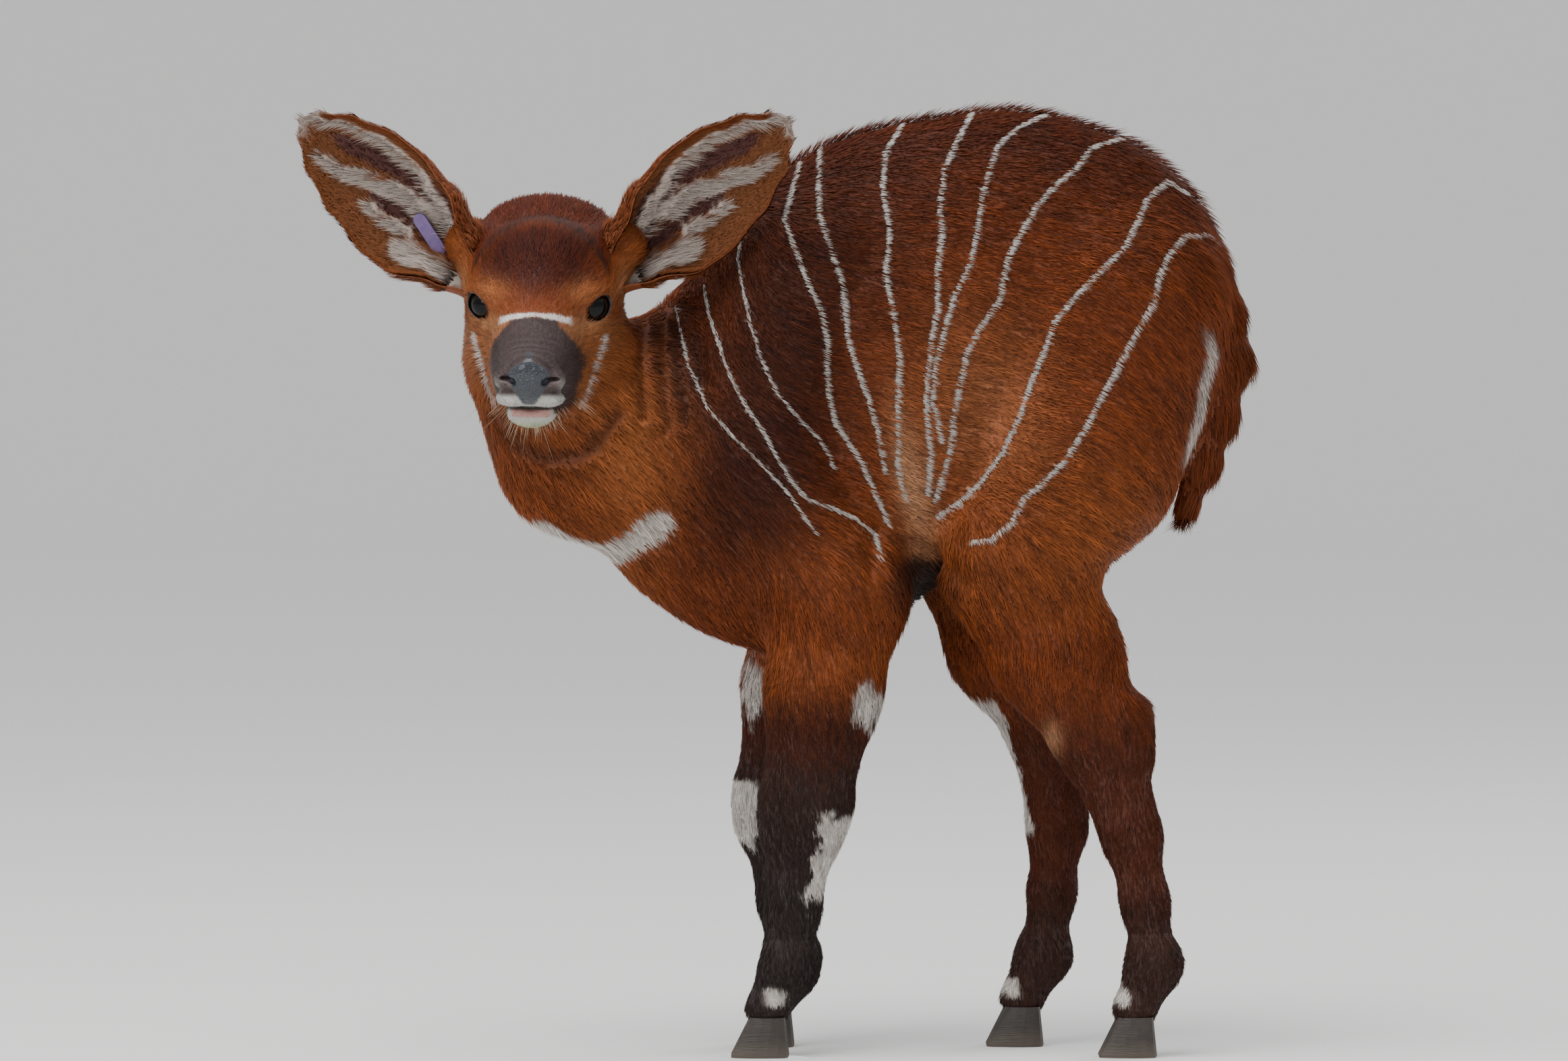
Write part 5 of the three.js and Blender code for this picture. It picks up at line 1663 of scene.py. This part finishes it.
def stripe_roots():
    """The fine white hairs of the stripes, on top of the coat along each stripe's line."""
    def closeness(centres):
        return 1.5 * (stripe_amount(centres, -3.5) > 0.3) * (centres[:, 2] > STRIPE_FOOT)

    place, normal = plant_roots(closeness, COAT_SEED + 1)
    kept = stripe_amount(place, 0.8 * cloud(place, 2.0, 51)) > 0.4
    place, normal = place[kept], normal[kept]
    shares = part_shares(place)
    lie = lay_down(coat_lie(place, shares), normal, np.full(len(place), 0.24))
    bright = 1 + 0.10 * chance.standard_normal((len(place), 1))
    patch = unwrap(place, "trunk")
    size = np.tile(STRIPE_HAIR, (len(place), 1))
    start = place + 1.6 * normal - 2.2 * lie
    return {"place": start, "normal": normal, "lie": lie, "colour": np.array(WHITE_HAIR) * bright,
            "size": size, "patch": patch}


def ear_roots(side, inside, count):
    """Hair on the ears: short behind, and long pale bands that lean out from the furrows."""
    luck = np.random.default_rng(COAT_SEED + 3 * side + inside)
    t = luck.uniform(-0.03, 1.0, count * 3)
    s = luck.uniform(-1.0, 1.0, count * 3)
    wide = curve(t, EAR_WIDTH) * curve(t, EAR_FOLD)
    bare = 0.75 * band_amount(t, s, EAR_FURROWS) if inside else 0
    kept = np.nonzero(luck.random(len(t)) < wide / wide.max() * (1 - bare))[0][:count]
    t, s = t[kept], s[kept]
    facing = -1 if inside else 1
    out = facing * EAR_WALL / 2
    along = unit(ear_surface(side, t + 0.01, s, out) - ear_surface(side, t - 0.01, s, out))
    over = unit(ear_surface(side, t, s + 0.01, out) - ear_surface(side, t, s - 0.01, out))
    normal = np.cross(over, along) * side * facing
    band = band_amount(t, s, EAR_BANDS) * inside
    furrow = band_amount(t, s, EAR_FURROWS) * inside
    rim = smooth(np.abs(s), 0.82, 0.95) + smooth(t, 0.9, 0.97)
    lean = (-0.55 * band - 0.5 * smooth(s, -0.4, -0.7)) if inside else 0.25 * s
    base = smooth(t, 0.26, 0.12) * (1.0 if inside else 0.8)
    length = (5.5 if inside else 7.0) + 8.0 * band - 2.5 * furrow
    length += 5.0 * base - 1.5 * np.clip(rim, 0, 1)
    lie = lay_down(along * 0.85 + over * lean[:, None], normal, 0.16 + 0.28 * band + 0.15 * base)
    colour = ear_colours(t, s, inside) * (1 + 0.16 * chance.standard_normal((len(t), 1)))
    field = f"ear_{'left' if side > 0 else 'right'}_{'in' if inside else 'out'}"
    low_u, low_v, high_u, high_v = ATLAS[field]
    u = low_u + (high_u - low_u) * (s + 1) / 2
    v = low_v + (high_v - low_v) * np.clip(t, 0, 1)
    return {"place": ear_surface(side, t, s, out), "normal": normal, "lie": lie,
            "colour": np.clip(colour, 0.01, 0.9), "size": columns(0.72 - 0.22 * band, length, 0.42),
            "patch": columns(u, v, 0)}


def whisker_roots():
    """The pale fringe that hangs from the chin, and a few long feelers among it."""
    luck = np.random.default_rng(COAT_SEED + 9)
    count = CHIN_HAIRS
    aside = luck.normal(0, 13, count)
    nose = luck.uniform(46, 84, count) - 0.03 * aside ** 2
    place = to_world(columns(nose, aside, -62 - 0.02 * (nose - 60) + 0.006 * aside ** 2), HEAD)
    ahead = luck.normal(-0.05, 0.2, count)
    lie = unit(columns(ahead, aside / 26 + luck.normal(0, 0.12, count), -1) @ HEAD_AXES.T)
    long = luck.random(count) > 0.93
    length = np.where(long, luck.uniform(24, 40, count), luck.uniform(9, 20, count))
    width = np.where(long, 0.3, 0.42)
    colour = np.where(luck.random((count, 1)) > 0.3, CHIN_PALE, CHIN_DARK)
    return {"place": place, "normal": np.tile(HEAD_AXES[:, 0], (count, 1)), "lie": lie,
            "colour": colour, "size": columns(width, length, 0.8 * width),
            "patch": unwrap(place, "head")}


def lash_roots():
    """Dark lashes along each upper lid."""
    both = []
    for side in BOTH_SIDES:
        axes = eye_axes(side)
        turn = np.linspace(*LASH_ENDS, LASHES)
        arch = (1, np.cos(turn), np.sin(turn))
        place = to_world(columns(*(r * way for r, way in zip(LASH_ARCH, arch))), axes)
        lie = unit(columns(*(r * way for r, way in zip(LASH_LEAN, arch))) @ axes[0].T)
        fixed = {"normal": axes[0][:, 2], "colour": LASH_BLACK, "size": LASH_HAIR}
        roots = {key: np.tile(value, (LASHES, 1)) for key, value in fixed.items()}
        both.append({"place": place, "lie": lie, "patch": unwrap(place, "head"), **roots})
    return joined(both)


def joined(groups):
    return {key: np.concatenate([group[key] for group in groups]) for key in groups[0]}


blade = blade_shape()
grower = tuft_grower()
hair = hair_finish()
all_roots, root_owner, owner_names = hide_roots()
for number, name in enumerate(owner_names):
    mine = chosen(all_roots, root_owner == number)
    slot = "coat_dark" if name == "tail" else "leg_coat" if "leg" in name else "coat"
    grow_coat(f"coat_{name}", mine)
grow_coat("coat_stripes", stripe_roots(), 0.15)
for side, name in ((1, "left"), (-1, "right")):
    both_faces = joined([ear_roots(side, inside, count) for inside, count in EAR_TUFTS])
    grow_coat(f"coat_ear_{name}", both_faces, 0.18)
grow_coat("coat_chin_fringe", whisker_roots(), 0.1)
grow_coat("coat_lashes", lash_roots(), 0.1)
bpy.data.objects.remove(blade)
